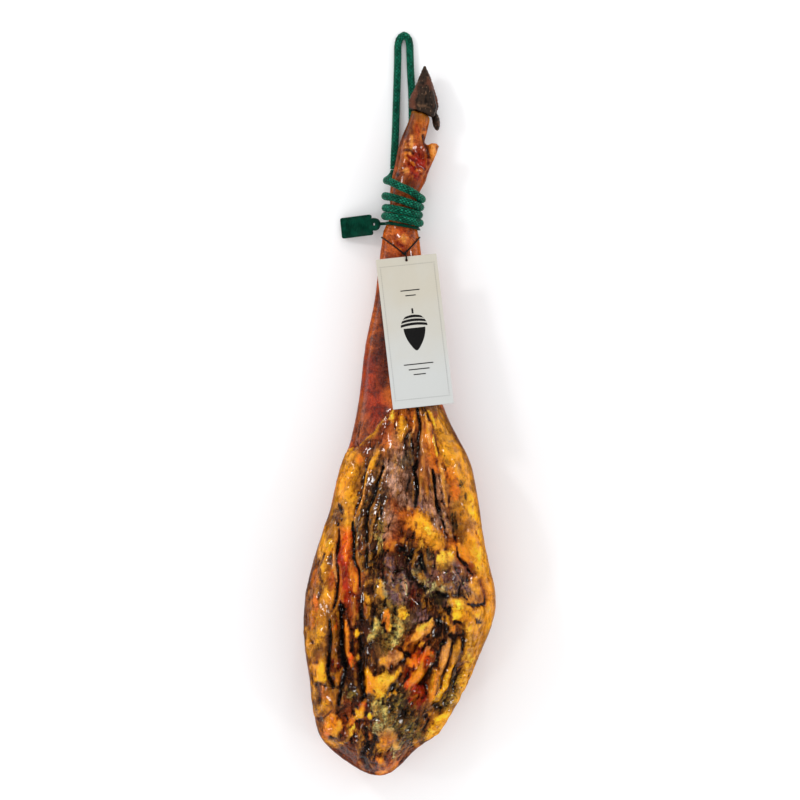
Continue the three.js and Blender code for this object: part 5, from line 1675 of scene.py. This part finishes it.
class HamSizes(PropertyGroup):
    """Sizes of the pieces, and how fine their meshes are."""

    ham_detail: length_property("Ham detail", "Size of the quads of the ham before its face is refined",
                                3.25 * MM)
    horn_detail: length_property("Horn detail", "Size of the quads of the hooves", 0.9 * MM)
    rope_diameter: length_property("Rope diameter", "Thickness of the hanging rope", 8.6 * MM)
    rope_relief: length_property("Rope relief", "How deep the braid of the rope is", 1.15 * MM)
    rope_step: length_property("Rope step", "Length of the quads along the rope", 0.62 * MM)
    rope_sides: IntProperty(name="Rope sides", description="Quads round the rope", default=44, min=8)
    rope_strands: IntProperty(name="Rope strands", description="Strands of the braid each way round",
                              default=7, min=2)
    string_diameter: length_property("String diameter", "Thickness of the string of the card", 1.7 * MM)
    card_width: length_property("Card width", "Width of the card", 70 * MM)
    card_length: length_property("Card length", "Length of the card", 175 * MM)
    ink_thickness: length_property("Ink thickness", "How far the print stands on the card", 0.06 * MM)
    fleck_size: length_property("Fleck size", "Radius of a crumb of mould", 0.6 * MM)
    fleck_density: FloatProperty(name="Fleck density", description="Crumbs for each square metre of mould",
                                 default=12000, min=0)


class HAM_OT_camera(Operator):
    """Look straight down on the ham"""

    bl_idname = "ham.camera"
    bl_label = "Camera"

    def execute(self, context):
        camera = bpy.data.objects.new("camera", bpy.data.cameras.new("camera"))
        context.scene.collection.objects.link(camera)
        camera.location = CAMERA_PLACE
        camera.data.sensor_width = 36
        camera.data.lens = camera.data.sensor_width * (CAMERA_PLACE[2] - VIEWED_LEVEL) / VIEWED_WIDTH
        context.scene.camera = camera
        return {"FINISHED"}


class HAM_OT_rope(Operator):
    """Braid the turns of rope round the ankle and the free loop"""

    bl_idname = "ham.rope"
    bl_label = "Rope"

    def execute(self, context):
        settings = sizes()
        diameter = settings.rope_diameter
        material = rope_finish()
        turns = catmull_rom(winding_points(diameter / MM / 2), settings.rope_step / MM) * MM
        winding = new_piece("rope_turns", braided_tube(turns, diameter), material)
        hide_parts("rope_winding")
        route = catmull_rom(ROPE_LOOP, settings.rope_step / MM) * MM
        loop = new_piece("rope_free_loop", braided_tube(route, diameter), material)
        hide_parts("rope_loop")
        return {"FINISHED"}


class HAM_OT_body(Operator):
    """Shape and paint the leg, with its crumbs of mould"""

    bl_idname = "ham.body"
    bl_label = "Ham"

    def execute(self, context):
        material = meat_finish()
        mesh = ham_mesh()
        body = new_piece("ham_leg", mesh, material)
        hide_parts("ham")
        crumbs = fleck_finish()
        flecks = new_piece("mould_crumbs", fleck_mesh(mesh.copy(), crumbs), crumbs)
        return {"FINISHED"}


class HAM_OT_hooves(Operator):
    """Finish both claws in horn"""

    bl_idname = "ham.hooves"
    bl_label = "Hooves"

    def execute(self, context):
        material = horn_finish()
        for node, name in (("hoof_near", "near_claw"), ("hoof_far", "far_claw")):
            claw = new_piece(name, hoof_mesh(node), material)
            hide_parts(node)
        return {"FINISHED"}


class HAM_OT_seal(Operator):
    """Round the edges of the seal and rib its plate"""

    bl_idname = "ham.seal"
    bl_label = "Seal"

    def execute(self, context):
        material = plastic_finish()
        seal = new_piece("seal", bevelled_copy("seal_tag", 0.3 * MM, 2), material)
        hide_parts("seal_tag")
        ribs = rib_mesh(RIB_COUNT, RIB_SPACING * MM, RIB_LENGTH * MM, RIB_RADIUS * MM, material)
        ribs.transform(seal_matrix() @ Matrix.Translation(Vector(RIBS_PLACE) * MM))
        ribs = new_piece("seal_ribs", ribs, material)
        return {"FINISHED"}


class HAM_OT_card(Operator):
    """Round the edges of the card and print it"""

    bl_idname = "ham.card"
    bl_label = "Card"

    def execute(self, context):
        card = new_piece("card", bevelled_copy("card_tag", 0.2 * MM, 2), card_finish())
        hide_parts("card_tag")
        ink = ink_finish()
        print_piece = new_piece("card_print", card_print_mesh(ink), ink)
        return {"FINISHED"}


class HAM_OT_string(Operator):
    """Lay the string of the card round the shank"""

    bl_idname = "ham.string"
    bl_label = "String"

    def execute(self, context):
        material = string_finish()
        radius = sizes().string_diameter / 2
        ham = bpy.data.objects["ham_leg"]
        tree = BVHTree.FromObject(ham, context.evaluated_depsgraph_get())
        path = string_path(tree, radius)
        hole = card_matrix()
        knot = path[0] + Vector((0, 0, KNOT_LIFT * MM))
        lead = [knot] + [hole @ (Vector(point) * MM) for point in LEAD]
        lead = [Vector(point) for point in catmull_rom(lead, LEAD_SPACING * MM)]
        work = bmesh.new()
        for line in (path, lead):
            work.from_mesh(round_cord_mesh(line, radius, material))
        for *place, turn in KNOT_LOBES:
            lobe = bmesh.ops.create_uvsphere(work, u_segments=16, v_segments=10,
                                             radius=KNOT_LOBE_RADIUS * MM)["verts"]
            turned = Matrix.Rotation(math.radians(turn), 3, "Z")
            bmesh.ops.scale(work, verts=lobe, vec=KNOT_LOBE_SHAPE)
            bmesh.ops.rotate(work, verts=lobe, matrix=turned)
            bmesh.ops.translate(work, verts=lobe, vec=knot + Vector(place) * MM)
        mesh = bpy.data.meshes.new("string")
        work.to_mesh(mesh)
        work.free()
        shade_smooth(mesh, 60)
        string = new_piece("card_string", mesh, material)
        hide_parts("tag_string")
        return {"FINISHED"}


class HAM_OT_stage(Operator):
    """Set the pale floor and the soft studio light"""

    bl_idname = "ham.stage"
    bl_label = "Stage"

    def execute(self, context):
        half = FLOOR_WIDTH / 2
        mesh = bpy.data.meshes.new("floor")
        mesh.from_pydata([(-half, -half, 0), (half, -half, 0), (half, half, 0), (-half, half, 0)], [],
                         [(0, 1, 2, 3)])
        mesh.materials.append(floor_finish())
        floor = bpy.data.objects.new("floor", mesh)
        context.scene.collection.objects.link(floor)
        world = bpy.data.worlds.new("studio")
        context.scene.world = world
        world.use_nodes = True
        background = world.node_tree.nodes["Background"]
        background.inputs["Color"].default_value = (1, 1, 1, 1)
        background.inputs["Strength"].default_value = WORLD_STRENGTH
        world.cycles_visibility.glossy = False
        for name, place, width, power in LAMPS:
            light = bpy.data.lights.new(name, "AREA")
            light.shape = "DISK"
            light.size = width
            light.energy = power
            lamp = bpy.data.objects.new(name, light)
            context.scene.collection.objects.link(lamp)
            lamp.location = place
            lamp.rotation_euler = (Vector((0, 0, 0)) - Vector(place)).to_track_quat("-Z", "Y").to_euler()
        context.scene.view_settings.view_transform = "Standard"
        return {"FINISHED"}


class HAM_PT_panel(Panel):
    """The pieces of the ham, and what can be changed on them"""

    bl_idname = "HAM_PT_panel"
    bl_label = "Cured ham"
    bl_space_type = "VIEW_3D"
    bl_region_type = "UI"
    bl_category = "Cured ham"

    def draw(self, context):
        for operator in OPERATORS:
            self.layout.operator(operator.bl_idname)
        for group in (context.scene.ham_sizes, context.scene.ham_colours):
            box = self.layout.box()
            for name in group.__annotations__:
                box.prop(group, name)


OPERATORS = (HAM_OT_camera, HAM_OT_rope, HAM_OT_body, HAM_OT_hooves, HAM_OT_seal, HAM_OT_card, HAM_OT_string,
             HAM_OT_stage)
CLASSES = (HamColours, HamSizes, *OPERATORS, HAM_PT_panel)


def register():
    for item in CLASSES:
        bpy.utils.register_class(item)
    bpy.types.Scene.ham_colours = PointerProperty(type=HamColours)
    bpy.types.Scene.ham_sizes = PointerProperty(type=HamSizes)


def unregister():
    del bpy.types.Scene.ham_sizes
    del bpy.types.Scene.ham_colours
    for item in reversed(CLASSES):
        bpy.utils.unregister_class(item)


def main():
    register()
    bpy.ops.ham.camera()
    bpy.ops.ham.rope()
    bpy.ops.ham.body()
    bpy.ops.ham.hooves()
    bpy.ops.ham.seal()
    bpy.ops.ham.card()
    bpy.ops.ham.string()
    bpy.ops.ham.stage()


if __name__ == "__main__":
    main()
